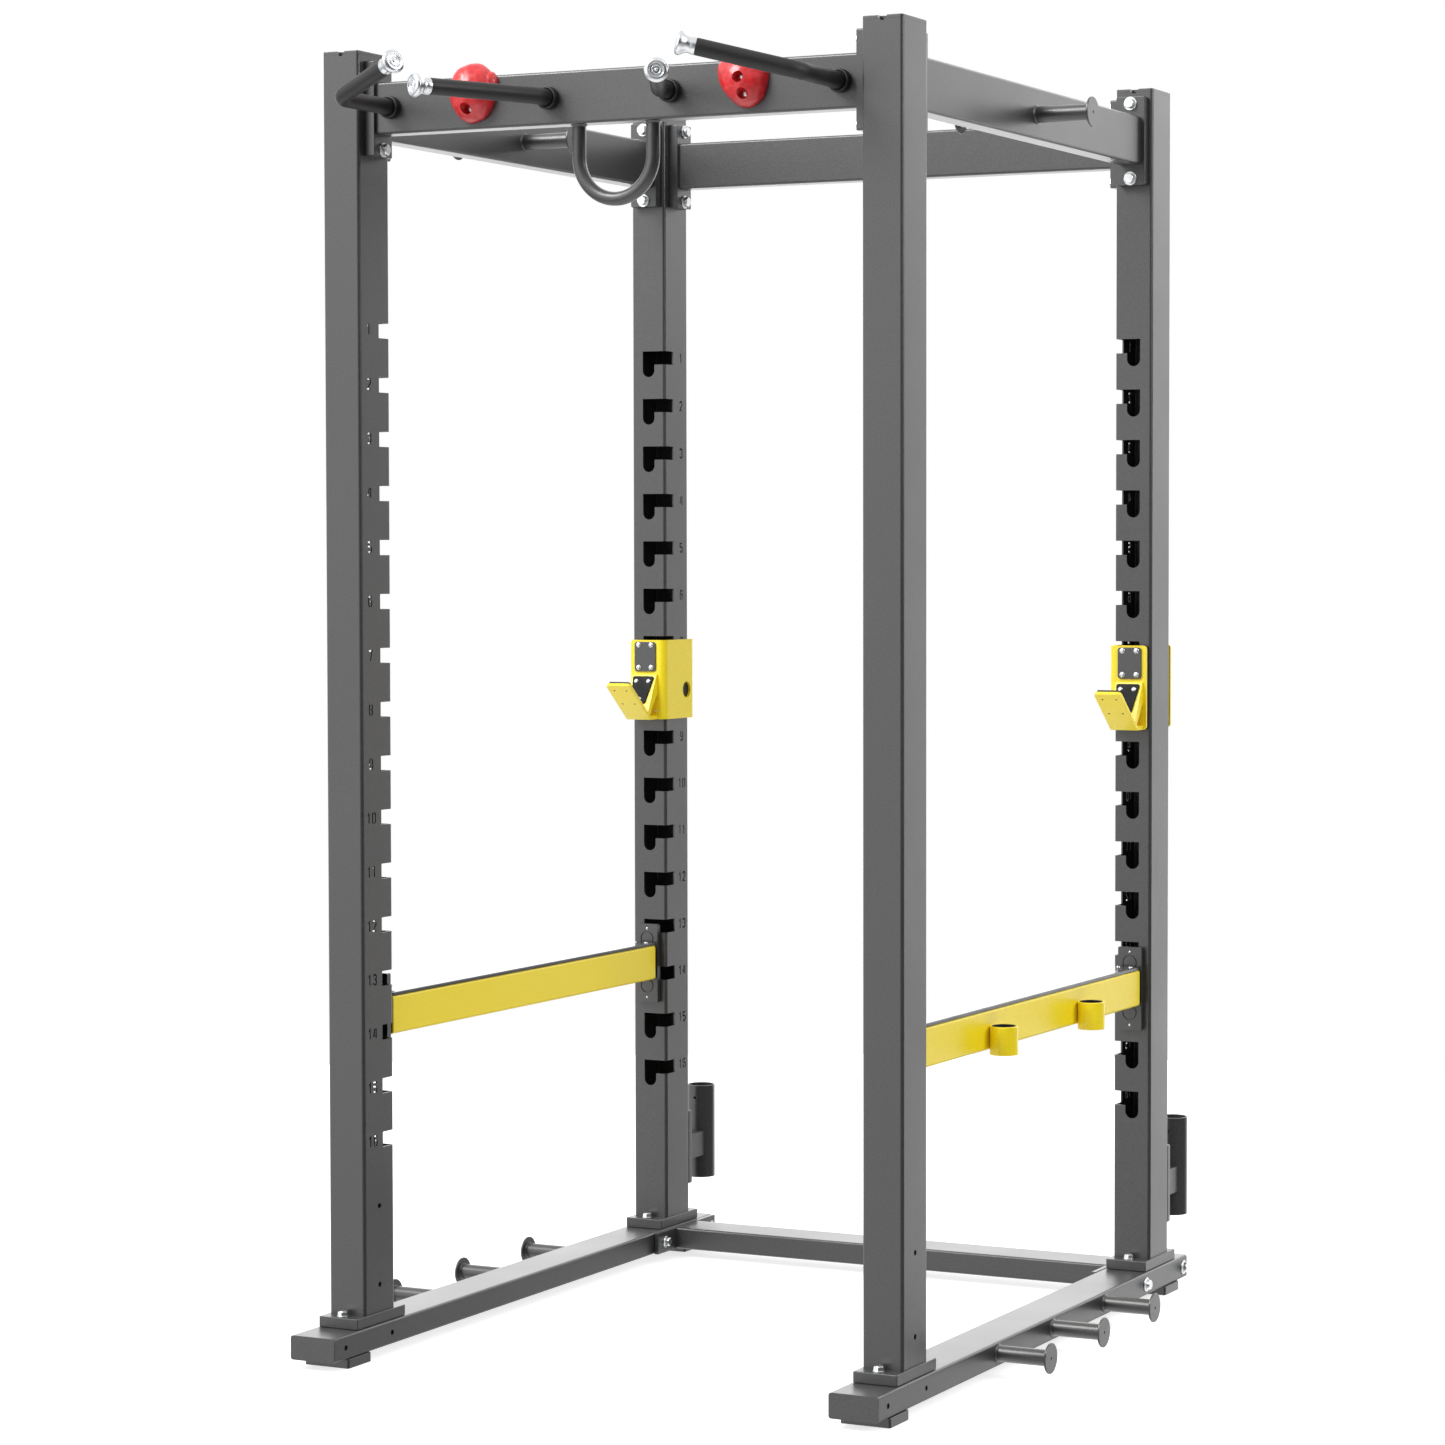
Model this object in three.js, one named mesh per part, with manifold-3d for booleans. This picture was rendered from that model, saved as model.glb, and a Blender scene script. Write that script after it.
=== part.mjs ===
// Power cage: four slotted uprights on two base rails, tied by four top beams,
// with lift-off bar hooks and safety bars that hang in the upright slots.
// Millimetres, +Z up. The plan is drawn with y = 0 at the front face of the front
// uprights, and the whole group is moved in Y at the end so that the origin is
// the centre of the footprint, on the floor.
import * as THREE from 'three';
import { mergeVertices } from 'three/addons/utils/BufferGeometryUtils.js';
import Module from 'manifold-3d';

const wasm = await Module();
wasm.setup();

// ---------------------------------------------------------------- driving dimensions
const CAGE_WIDTH = 1178;          // over the outer faces of the uprights
const POST_X = 78;                // upright tube, across the cage
const POST_Y = 100;               // upright tube, front to back
const REAR_Y = 1150;              // front face of the rear uprights
const CAGE_HEIGHT = 2411;
const WALL = 3;                   // wall of every structural tube
const GAP = 0.3;                  // clearance between neighbouring solids
const CAP = { thick: 6, plug: 19 };  // end cap of an upright, and its plug inside the tube
const SMALL_HOLE = 5;             // radius of the small bolt holes
const POST_HOLE_Z = [135, 282];   // holes through the sides of a front upright

const BEAM_HIGH = 95;             // top beam tube
const BEAM_THICK = 45;
const BEAM_Z = 2306.5;            // centre height of the top beams
const END_PLATE = { wide: 60, high: 174, thick: 20 };

const FOOT_HIGH = 18;
const RAIL_WIDE = 95;             // base rails: the beam tube laid flat
const RAIL_HIGH = 45;
const RAIL_FRONT = -115;
const RAIL_REAR = 1335;
const BASE_PLATE = { wide: 85, long: 160, thick: 20 };
const RAIL_HOLE_Y = [-76, 78];    // holes through the sides of a base rail
const FOOT = { wide: 96, long: 76, front: -31, rear: 1251 };
const CROSS = { y: 1205, plateLong: 252, plateThick: 10, vent: 9 };  // rear cross member

const SLOT_COUNT = 16;
const SLOT_PITCH = 100;
const SLOT_TOP = 1918;            // top edge of slot 1
const SLOT_WIDE = 28;
const SLOT_TALL = 54;
const SLOT_REACH = 37;            // how far a slot runs round onto the inner side face

const PIN_RADIUS = 13.5;
const PIN_REACH = 33;             // pin length inside the upright
const HOOK_SLOT = 7;              // upper of the two slots that a bar hook hangs in
const SAFETY_SLOT = 13;           // upper of the two slots that a safety bar hangs in

const PEG = { shaft: 15, disc: 28, discThick: 5 };
const TOP_PEG_LONG = 112;
const BASE_PEG_LONG = 104;
const BASE_PEG_Y = [388, 640, 896];
const MIDDLE_Y = 614;             // top pegs and the middle of the safety bars

const GRIP_RADIUS = 15;
const SLEEVE = { outer: 30, bore: 27, tall: 200, low: 138, y: 1376 };

// ---------------------------------------------------------------- derived places
const POST_MID_X = CAGE_WIDTH / 2 - POST_X / 2;
const INNER_X = CAGE_WIDTH / 2 - POST_X;
const FRONT_MID_Y = POST_Y / 2;
const REAR_MID_Y = REAR_Y + POST_Y / 2;
const RAIL_TOP = FOOT_HIGH + RAIL_HIGH;
const PLATE_TOP = RAIL_TOP + GAP + BASE_PLATE.thick;
const slotTop = (slot) => SLOT_TOP - (slot - 1) * SLOT_PITCH;
const pinZ = (slot) => slotTop(slot) - SLOT_TALL + SLOT_WIDE / 2;

// ---------------------------------------------------------------- finishes
const finish = (color, roughness, metalness) => new THREE.MeshStandardMaterial({ color, roughness, metalness });
const FRAME_GREY = finish(0x6a6a6a, 0.62, 0.3);
const SAFETY_YELLOW = finish(0xf2dc2e, 0.5, 0.1);
const RUBBER = finish(0x262626, 0.75, 0);
const BLACK_PLASTIC = finish(0x2c2d2f, 0.5, 0);
const CHROME = finish(0xd8dadc, 0.15, 1);
const RED_RESIN = finish(0xd23c40, 0.45, 0);

// ---------------------------------------------------------------- solids
function solid(geometry) {
  const bare = geometry.clone();
  bare.deleteAttribute('normal');
  bare.deleteAttribute('uv');
  const merged = mergeVertices(bare, 1e-3);
  return new wasm.Manifold(new wasm.Mesh({
    numProp: 3,
    vertProperties: new Float32Array(merged.attributes.position.array),
    triVerts: new Uint32Array(merged.index.array),
  }));
}

const join = (first, ...others) => others.reduce((body, piece) => body.add(piece), first);
const cut = (first, ...others) => others.reduce((body, piece) => body.subtract(piece), first);

// A box between two corners.
function block([x0, y0, z0], [x1, y1, z1]) {
  const size = [Math.abs(x1 - x0), Math.abs(y1 - y0), Math.abs(z1 - z0)];
  const box = new THREE.BoxGeometry(...size);
  return solid(box.translate((x0 + x1) / 2, (y0 + y1) / 2, (z0 + z1) / 2));
}

// A round bar between two points.
function rod(from, to, radius, sides = 16) {
  const start = new THREE.Vector3(...from);
  const along = new THREE.Vector3(...to).sub(start);
  const round = new THREE.CylinderGeometry(radius, radius, along.length(), sides);
  round.translate(0, along.length() / 2, 0);
  round.applyQuaternion(new THREE.Quaternion().setFromUnitVectors(new THREE.Vector3(0, 1, 0), along.normalize()));
  return solid(round.translate(...from));
}

// A turned piece: [radius, distance] pairs along a line from a point in a direction.
function turned(profile, from, direction, sides = 16) {
  const lathe = new THREE.LatheGeometry(profile.map(([r, d]) => new THREE.Vector2(r, d)), sides);
  const unit = new THREE.Vector3(...direction).normalize();
  lathe.applyQuaternion(new THREE.Quaternion().setFromUnitVectors(new THREE.Vector3(0, 1, 0), unit));
  return solid(lathe.translate(...from));
}

function roundedOutline(path, wide, high, radius) {
  const [x, y] = [wide / 2, high / 2];
  path.moveTo(-x + radius, -y);
  path.lineTo(x - radius, -y);
  path.absarc(x - radius, -y + radius, radius, -Math.PI / 2, 0);
  path.lineTo(x, y - radius);
  path.absarc(x - radius, y - radius, radius, 0, Math.PI / 2);
  path.lineTo(-x + radius, y);
  path.absarc(-x + radius, y - radius, radius, Math.PI / 2, Math.PI);
  path.lineTo(-x, -y + radius);
  path.absarc(-x + radius, -y + radius, radius, Math.PI, Math.PI * 1.5);
  return path;
}

// A solid bar of rounded-rectangle section, drawn upright from z = 0.
function roundedBar(wide, high, radius, length) {
  const outline = roundedOutline(new THREE.Shape(), wide, high, radius);
  return new THREE.ExtrudeGeometry(outline, { depth: length, bevelEnabled: false, curveSegments: 1 });
}

// A rectangular tube, drawn upright from z = 0.
function tubeGeometry(wide, high, length, radius = 6) {
  const outline = roundedOutline(new THREE.Shape(), wide, high, radius);
  outline.holes.push(roundedOutline(new THREE.Path(), wide - 2 * WALL, high - 2 * WALL, radius - WALL));
  return new THREE.ExtrudeGeometry(outline, { depth: length, bevelEnabled: false, curveSegments: 1 });
}

// An outline in the YZ plane, given width across X.
function crosswise(points, x0, x1, holes = []) {
  const shape = new THREE.Shape(points.map(([y, z]) => new THREE.Vector2(y, z)));
  for (const hole of holes) shape.holes.push(new THREE.Path(hole.map(([y, z]) => new THREE.Vector2(y, z))));
  const plate = new THREE.ExtrudeGeometry(shape, { depth: Math.abs(x1 - x0), bevelEnabled: false });
  // The drawing's x, y and depth become Y, Z and X.
  plate.applyMatrix4(new THREE.Matrix4().makeBasis(
    new THREE.Vector3(0, 1, 0), new THREE.Vector3(0, 0, 1), new THREE.Vector3(1, 0, 0)));
  return solid(plate.translate(Math.min(x0, x1), 0, 0));
}

const cage = new THREE.Group();

function add(name, body, material, parent = cage) {
  const { vertProperties, triVerts } = body.getMesh();
  const geometry = new THREE.BufferGeometry();
  geometry.setAttribute('position', new THREE.BufferAttribute(new Float32Array(vertProperties), 3));
  geometry.setIndex(new THREE.BufferAttribute(new Uint32Array(triVerts), 1));
  const mesh = new THREE.Mesh(geometry, material);
  mesh.name = name;
  parent.add(mesh);
}

const SIDES = [['left', -1], ['right', 1]];

// ---------------------------------------------------------------- uprights and caps
// The slots face the inside of the cage: the rear face of a front upright and the
// front face of a rear upright, and they run round onto the inner side face.
function upright(side, faceY, inward) {
  const midX = side * POST_MID_X;
  const midY = faceY - inward * POST_Y / 2;
  const foot = RAIL_TOP + GAP;
  const tube = tubeGeometry(POST_X, POST_Y, CAGE_HEIGHT - CAP.thick - foot).translate(midX, midY, foot);
  const plate = block(
    [midX - BASE_PLATE.wide / 2, midY - BASE_PLATE.long / 2, foot],
    [midX + BASE_PLATE.wide / 2, midY + BASE_PLATE.long / 2, PLATE_TOP]);
  const cuts = [];
  for (let slot = 1; slot <= SLOT_COUNT; slot += 1) {
    const top = slotTop(slot);
    const entryX = side * (INNER_X - 1);
    const legX = midX + side * SLOT_WIDE / 2;
    cuts.push(block([entryX, faceY + inward, top - SLOT_WIDE], [legX, faceY - inward * SLOT_REACH, top]));
    const leg = [faceY + inward, faceY - inward * (WALL + 1)];
    cuts.push(block(
      [midX - SLOT_WIDE / 2, leg[0], pinZ(slot)],
      [midX + SLOT_WIDE / 2, leg[1], top - SLOT_WIDE / 2]));
    cuts.push(rod([midX, leg[0], pinZ(slot)], [midX, leg[1], pinZ(slot)], SLOT_WIDE / 2, 12));
  }
  if (inward > 0) {
    cuts.push(...POST_HOLE_Z.map((z) => rod(
      [midX - POST_X, midY, z], [midX + POST_X, midY, z], SMALL_HOLE, 10)));
  }
  return cut(join(solid(tube), plate), ...cuts);
}

function topCap(midX, midY) {
  const top = roundedBar(POST_X, POST_Y, 6, CAP.thick - GAP).translate(midX, midY, CAGE_HEIGHT - CAP.thick + GAP);
  const inside = 2 * (WALL + GAP);
  const plug = roundedBar(POST_X - inside, POST_Y - inside, 3, CAP.plug + 1)
    .translate(midX, midY, CAGE_HEIGHT - CAP.thick - CAP.plug);
  return join(solid(top), solid(plug));
}

for (const [sideName, side] of SIDES) {
  add(`front_${sideName}_upright`, upright(side, POST_Y, 1), FRAME_GREY);
  add(`rear_${sideName}_upright`, upright(side, REAR_Y, -1), FRAME_GREY);
  add(`front_${sideName}_cap`, topCap(side * POST_MID_X, FRONT_MID_Y), FRAME_GREY);
  add(`rear_${sideName}_cap`, topCap(side * POST_MID_X, REAR_MID_Y), FRAME_GREY);
}

// ---------------------------------------------------------------- top beams
// A tube with a bolting plate welded on each end. Each plate has a vent hole in
// its middle, hidden against the upright.
function topBeam(length) {
  const inner = length - 2 * END_PLATE.thick;
  const body = tubeGeometry(BEAM_HIGH, BEAM_THICK, inner, 5);
  body.rotateY(Math.PI / 2).translate(-inner / 2, 0, 0);
  let beam = solid(body);
  for (const end of [-1, 1]) {
    const near = end * inner / 2;
    const far = end * length / 2;
    const plate = block(
      [near, -END_PLATE.wide / 2, -END_PLATE.high / 2],
      [far, END_PLATE.wide / 2, END_PLATE.high / 2]);
    beam = join(beam, cut(plate, rod([near - end, 0, 0], [far + end, 0, 0], 12, 12)));
  }
  return beam;
}

function placeBeam(name, length, x, y, turn) {
  const group = new THREE.Group();
  group.position.set(x, y, BEAM_Z);
  group.rotation.z = turn;
  cage.add(group);
  add(name, topBeam(length), FRAME_GREY, group);
}

const ACROSS = 2 * (INNER_X - GAP);
const ALONG = REAR_Y - POST_Y - 2 * GAP;
placeBeam('front_top_beam', ACROSS, 0, FRONT_MID_Y, 0);
placeBeam('rear_top_beam', ACROSS, 0, REAR_MID_Y, 0);
for (const [sideName, side] of SIDES) {
  placeBeam(`${sideName}_top_beam`, ALONG, side * POST_MID_X, (REAR_Y + POST_Y) / 2, Math.PI / 2);
}

// ---------------------------------------------------------------- base
function baseRail(side) {
  const long = RAIL_REAR - RAIL_FRONT;
  const tube = tubeGeometry(RAIL_WIDE, RAIL_HIGH, long - 2 * WALL, 5);
  tube.rotateX(Math.PI / 2).translate(side * POST_MID_X, RAIL_REAR - WALL, FOOT_HIGH + RAIL_HIGH / 2);
  const half = RAIL_WIDE / 2;
  const ends = [[RAIL_FRONT, RAIL_FRONT + WALL], [RAIL_REAR - WALL, RAIL_REAR]].map(([near, far]) => block(
    [side * POST_MID_X - half, near, FOOT_HIGH],
    [side * POST_MID_X + half, far, RAIL_TOP]));
  const holes = RAIL_HOLE_Y.map((y) => rod(
    [side * POST_MID_X - half - 1, y, FOOT_HIGH + RAIL_HIGH / 2],
    [side * POST_MID_X + half + 1, y, FOOT_HIGH + RAIL_HIGH / 2], SMALL_HOLE, 10));
  return cut(join(solid(tube), ...ends), ...holes);
}

for (const [sideName, side] of SIDES) {
  add(`${sideName}_base_rail`, baseRail(side), FRAME_GREY);
  for (const endName of ['front', 'rear']) {
    const pad = roundedBar(FOOT.wide, FOOT.long, 4, FOOT_HIGH - GAP).translate(side * POST_MID_X, FOOT[endName], 0);
    add(`${endName}_${sideName}_foot`, solid(pad), BLACK_PLASTIC);
  }
}

function crossMember() {
  const outer = POST_MID_X - RAIL_WIDE / 2 - GAP;
  const inner = outer - CROSS.plateThick;
  const midZ = FOOT_HIGH + RAIL_HIGH / 2;
  const tube = tubeGeometry(RAIL_HIGH, RAIL_WIDE, 2 * inner, 5);
  tube.rotateY(Math.PI / 2).translate(-inner, CROSS.y, midZ);
  let member = solid(tube);
  for (const end of [-1, 1]) {
    const plate = block(
      [end * inner, CROSS.y - CROSS.plateLong / 2, FOOT_HIGH],
      [end * outer, CROSS.y + CROSS.plateLong / 2, RAIL_TOP]);
    const vent = rod([end * (inner - 1), CROSS.y, midZ], [end * (outer + 1), CROSS.y, midZ], CROSS.vent, 12);
    member = join(member, cut(plate, vent));
  }
  return member;
}
add('rear_cross_member', crossMember(), FRAME_GREY);

// ---------------------------------------------------------------- pegs
function peg(x, y, z, direction, long) {
  const neck = long - PEG.discThick;
  return turned([
    [0, 0], [PEG.shaft, 0], [PEG.shaft, neck], [PEG.disc, neck], [PEG.disc, long], [0, long],
  ], [x + direction * GAP, y, z], [direction, 0, 0]);
}

for (const [sideName, side] of SIDES) {
  const beamFace = BEAM_THICK / 2;
  for (const [faceName, out] of [['outer', side], ['inner', -side]]) {
    const x = side * POST_MID_X + out * beamFace;
    add(`${sideName}_${faceName}_top_peg`, peg(x, MIDDLE_Y, BEAM_Z - 3, out, TOP_PEG_LONG), FRAME_GREY);
  }
  BASE_PEG_Y.forEach((y, index) => {
    const x = side * (POST_MID_X + RAIL_WIDE / 2);
    add(`${sideName}_base_peg_${index + 1}`, peg(x, y, FOOT_HIGH + 24, side, BASE_PEG_LONG), FRAME_GREY);
  });
}

// ---------------------------------------------------------------- pull-up handles
const BEAM_FACE_Y = FRONT_MID_Y - BEAM_THICK / 2 - GAP;

// Straight runs through the corner points, with each corner rounded to a radius.
function bentPath(corners, radius, arcSteps = 8) {
  const points = corners.map((corner) => new THREE.Vector3(...corner));
  const path = new THREE.CurvePath();
  let from = points[0];
  for (let i = 1; i < points.length - 1; i += 1) {
    const into = points[i - 1].clone().sub(points[i]).normalize();
    const out = points[i + 1].clone().sub(points[i]).normalize();
    const back = radius / Math.tan(into.angleTo(out) / 2);
    const start = points[i].clone().addScaledVector(into, back);
    const end = points[i].clone().addScaledVector(out, back);
    path.add(new THREE.LineCurve3(from, start));
    const centre = points[i].clone().addScaledVector(
      into.clone().add(out).normalize(), radius / Math.sin(into.angleTo(out) / 2));
    const arm = start.clone().sub(centre);
    const sweep = Math.PI - into.angleTo(out);
    const axis = arm.clone().cross(end.clone().sub(centre)).normalize();
    let last = start;
    for (let step = 1; step <= arcSteps; step += 1) {
      const next = centre.clone().add(arm.clone().applyAxisAngle(axis, sweep * step / arcSteps));
      path.add(new THREE.LineCurve3(last, next));
      last = next;
    }
    from = end;
  }
  path.add(new THREE.LineCurve3(from, points.at(-1)));
  return path;
}

function bentBar(corners, bend, radius, steps, sides = 12) {
  const disc = new THREE.Shape().absarc(0, 0, radius, 0, Math.PI * 2);
  const bar = new THREE.ExtrudeGeometry(disc, {
    steps, curveSegments: sides / 2, bevelEnabled: false, extrudePath: bentPath(corners, bend),
  });
  return solid(bar);
}

// Each bar leaves the beam square to its face, turns at the corner and ends at the tip.
const HANDLES = {
  outer: { corner: [458, -140, BEAM_Z], tip: [279, -236, 2352] },
  inner: { corner: [124, -14, BEAM_Z], tip: [243, -239, BEAM_Z + 1] },
};
const END_CAP_LONG = 34;

for (const [sideName, side] of SIDES) {
  for (const [placeName, handle] of Object.entries(HANDLES)) {
    const root = [side * handle.corner[0], BEAM_FACE_Y, BEAM_Z];
    const corner = new THREE.Vector3(side * handle.corner[0], handle.corner[1], handle.corner[2]);
    const tip = new THREE.Vector3(side * handle.tip[0], handle.tip[1], handle.tip[2]);
    const out = tip.clone().sub(corner).normalize();
    const gripEnd = tip.clone().addScaledVector(out, -END_CAP_LONG);
    const bar = bentBar([root, corner.toArray(), gripEnd.toArray()], 38, GRIP_RADIUS, 16);
    const collar = rod(root, [root[0], root[1] - 14, root[2]], 20.5);
    add(`${sideName}_${placeName}_handle`, join(bar, collar), RUBBER);
    const capRoot = gripEnd.clone().addScaledVector(out, GAP).toArray();
    const cap = turned([
      [0, 0], [15, 0], [13.5, 10], [14.5, 18], [21, 29], [21.5, 32], [19, END_CAP_LONG - GAP],
      [0, END_CAP_LONG - GAP],
    ], capRoot, out.toArray());
    add(`${sideName}_${placeName}_handle_end`, cap, CHROME);
  }
}

// The U grip hangs under the middle of the front beam.
const U = { half: 75.5, radius: 12.5, top: BEAM_Z - BEAM_HIGH / 2 - GAP, bottom: 2112 };
function uGrip() {
  const centre = U.bottom + U.radius + U.half;
  const turn = Array.from({ length: 13 }, (_, i) => {
    const angle = Math.PI * (1 + i / 12);
    return new THREE.Vector3(U.half * Math.cos(angle), FRONT_MID_Y, centre + U.half * Math.sin(angle));
  });
  const points = [
    new THREE.Vector3(-U.half, FRONT_MID_Y, U.top), ...turn, new THREE.Vector3(U.half, FRONT_MID_Y, U.top)];
  const path = new THREE.CurvePath();
  for (let i = 1; i < points.length; i += 1) path.add(new THREE.LineCurve3(points[i - 1], points[i]));
  const disc = new THREE.Shape().absarc(0, 0, U.radius, 0, Math.PI * 2);
  const bar = new THREE.ExtrudeGeometry(disc, {
    steps: 20, curveSegments: 6, bevelEnabled: false, extrudePath: path,
  });
  return solid(bar);
}
add('u_handle', uGrip(), FRAME_GREY);

// ---------------------------------------------------------------- climbing holds
// A rounded lump, flat on the back, bolted to the front face of the front beam.
function climbingHold(x, z, wide, tall, deep) {
  const lump = new THREE.SphereGeometry(1, 16, 10);
  lump.rotateX(Math.PI / 2).scale(wide / 2, deep, tall / 2).translate(x, BEAM_FACE_Y + 1, z);
  const front = block([x - wide, BEAM_FACE_Y - 2 * deep, z - tall], [x + wide, BEAM_FACE_Y, z + tall]);
  return solid(lump).intersect(front);
}
add('left_climbing_hold', climbingHold(-280, 2323, 102, 110, 46), RED_RESIN);
add('right_climbing_hold', climbingHold(271, 2315, 114, 98, 40), RED_RESIN);

// ---------------------------------------------------------------- barbell sleeves
function barbellSleeve(side) {
  const x = side * POST_MID_X;
  const back = REAR_Y + POST_Y + GAP;
  const plate = block([x - 38, back, 141], [x + 38, back + 14, 299]);
  const tab = block([x - 20, back + 13, 187], [x + 20, SLEEVE.y, 240]);
  const tube = rod([x, SLEEVE.y, SLEEVE.low], [x, SLEEVE.y, SLEEVE.low + SLEEVE.tall], SLEEVE.outer, 20);
  const bore = rod([x, SLEEVE.y, SLEEVE.low - 1], [x, SLEEVE.y, SLEEVE.low + SLEEVE.tall + 1], SLEEVE.bore, 20);
  return cut(join(plate, tab, tube), bore);
}
for (const [sideName, side] of SIDES) add(`${sideName}_barbell_sleeve`, barbellSleeve(side), FRAME_GREY);

// ---------------------------------------------------------------- bar hooks
// A yellow plate bent round the front, inner side and rear of a rear upright. Two
// pins on its back sit in two slots; a V cradle on its front holds the bar.
const HOOK = {
  low: 1143, high: 1310, plate: 5, frontY: 1134, rearY: 1269, sideX: 505, outerX: 585, bend: 12,
  linerFrontY: 1139 + GAP, linerRearY: 1148.5, cradleHalf: 28.5,
};

function hookPlate(side) {
  // Plan of the bent plate: the outside line, then the inside line back again.
  const plan = (grow) => {
    const [x0, x1, y0, y1] = [HOOK.sideX + grow, HOOK.outerX, HOOK.frontY + grow, HOOK.rearY - grow];
    const bend = HOOK.bend - grow;
    const corner = (cx, cy, from) => Array.from({ length: 5 }, (_, i) => {
      const angle = from - (Math.PI / 2) * (i / 4);
      return [cx + bend * Math.cos(angle), cy + bend * Math.sin(angle)];
    });
    return [[x1, y0], ...corner(x0 + bend, y0 + bend, -Math.PI / 2), ...corner(x0 + bend, y1 - bend, Math.PI),
      [x1, y1]];
  };
  const outline = [...plan(0), ...plan(HOOK.plate).reverse()];
  const shape = new THREE.Shape(outline.map(([x, y]) => new THREE.Vector2(side * x, y)));
  const bent = new THREE.ExtrudeGeometry(shape, { depth: HOOK.high - HOOK.low, bevelEnabled: false });
  return solid(bent.translate(0, 0, HOOK.low));
}

// Outline of the cradle in side view, as [y, z]: foot, lip, V and ramp.
const CRADLE = {
  outline: [[1135, 1143], [1103, 1143], [1014, 1217], [1017.8, 1221.6], [1094, 1158.2], [1130, 1236], [1135, 1240]],
  window: [[1102, 1152], [1133, 1152], [1133, 1197]],
};

function hook(side) {
  const x = side * POST_MID_X;
  const cradle = crosswise(CRADLE.outline, x - HOOK.cradleHalf, x + HOOK.cradleHalf, [CRADLE.window]);
  const pins = [HOOK_SLOT, HOOK_SLOT + 1].map((slot) => rod(
    [x, HOOK.frontY + 3, pinZ(slot)], [x, REAR_Y + WALL + PIN_REACH - 3, pinZ(slot)], PIN_RADIUS));
  const sight = rod([side * (HOOK.sideX - 2), 1232, 1203], [side * (HOOK.sideX + 10), 1232, 1203], 17);
  return cut(join(hookPlate(side), cradle, ...pins), sight);
}

function hookLiner(side) {
  const x = side * POST_MID_X;
  const sheet = block([x - 33, HOOK.linerFrontY, HOOK.low + 3], [x + 34, HOOK.linerRearY, HOOK.high - 3]);
  const holes = [HOOK_SLOT, HOOK_SLOT + 1].map((slot) => rod(
    [x, HOOK.frontY, pinZ(slot)], [x, REAR_Y, pinZ(slot)], PIN_RADIUS + GAP));
  return cut(sheet, ...holes);
}

// A pad lying on a sloping face of the cradle, from one [y, z] point to another.
function slopingPad(side, from, to, thick) {
  const along = new THREE.Vector2(to[0] - from[0], to[1] - from[1]).normalize();
  const off = new THREE.Vector2(-along.y, along.x);
  const at = ([y, z], rise) => [y + off.x * rise, z + off.y * rise];
  const x = side * POST_MID_X;
  return crosswise([at(from, GAP), at(to, GAP), at(to, GAP + thick), at(from, GAP + thick)], x - 25, x + 25);
}

for (const [sideName, side] of SIDES) {
  const x = side * POST_MID_X;
  add(`${sideName}_hook`, hook(side), SAFETY_YELLOW);
  add(`${sideName}_hook_liner`, hookLiner(side), BLACK_PLASTIC);
  const wear = roundedBar(50, 62, 5, 3).rotateX(Math.PI / 2).translate(x, HOOK.frontY - GAP, 1275);
  add(`${sideName}_hook_wear_plate`, solid(wear), FRAME_GREY);
  add(`${sideName}_hook_ramp_pad`, slopingPad(side, [1102.5, 1176.5], [1128.4, 1232.5], 4), BLACK_PLASTIC);
  add(`${sideName}_hook_lip_pad`, slopingPad(side, [1020, 1219.8], [1079, 1170.7], 4), BLACK_PLASTIC);
}

// ---------------------------------------------------------------- safety bars
// A yellow tube between two brackets whose pins sit in the slots, with a wear strip
// along its top and two open cups on its outer face.
const SAFETY = {
  wide: 50, high: 72, midZ: 629, front: 122, rear: 1128, bracketWide: 50, bracketHigh: 166, bracketThick: 12,
  strip: 6, cupRadius: 26, cupBore: 22, cupLow: 585, cupHigh: 637, cupSpacing: 412,
};

function safetyBar(side) {
  const x = side * POST_MID_X;
  const long = SAFETY.rear - SAFETY.front;
  const tube = tubeGeometry(SAFETY.wide, SAFETY.high, long, 6);
  tube.rotateX(Math.PI / 2).translate(x, SAFETY.rear, SAFETY.midZ);
  let bar = solid(tube);
  const cupX = x + side * (SAFETY.wide / 2 + SAFETY.cupRadius - 1);
  for (const end of [-1, 1]) {
    const y = MIDDLE_Y - 3 + end * SAFETY.cupSpacing / 2;
    const cup = turned([
      [0, 0], [SAFETY.cupRadius, 0], [SAFETY.cupRadius, SAFETY.cupHigh - SAFETY.cupLow],
      [SAFETY.cupBore, SAFETY.cupHigh - SAFETY.cupLow], [SAFETY.cupBore, 4], [0, 4],
    ], [cupX, y, SAFETY.cupLow], [0, 0, 1], 20);
    bar = join(bar, cup);
  }
  return bar;
}

function safetyBracket(side, faceY, inward) {
  const x = side * POST_MID_X;
  const near = faceY + inward * 1;
  const far = near + inward * SAFETY.bracketThick;
  const midZ = (pinZ(SAFETY_SLOT) + pinZ(SAFETY_SLOT + 1)) / 2 - 2;
  const half = SAFETY.bracketHigh / 2;
  const plate = block([x - SAFETY.bracketWide / 2, near, midZ - half], [x + SAFETY.bracketWide / 2, far, midZ + half]);
  const barEnd = inward > 0 ? SAFETY.front - GAP : SAFETY.rear + GAP;
  const boss = block([x - 20, far - inward, SAFETY.midZ - 30], [x + 20, barEnd, SAFETY.midZ + 30]);
  const pins = [SAFETY_SLOT, SAFETY_SLOT + 1].map((slot) => rod(
    [x, near + inward * 3, pinZ(slot)], [x, faceY - inward * PIN_REACH, pinZ(slot)], PIN_RADIUS));
  return join(plate, boss, ...pins);
}

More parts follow.
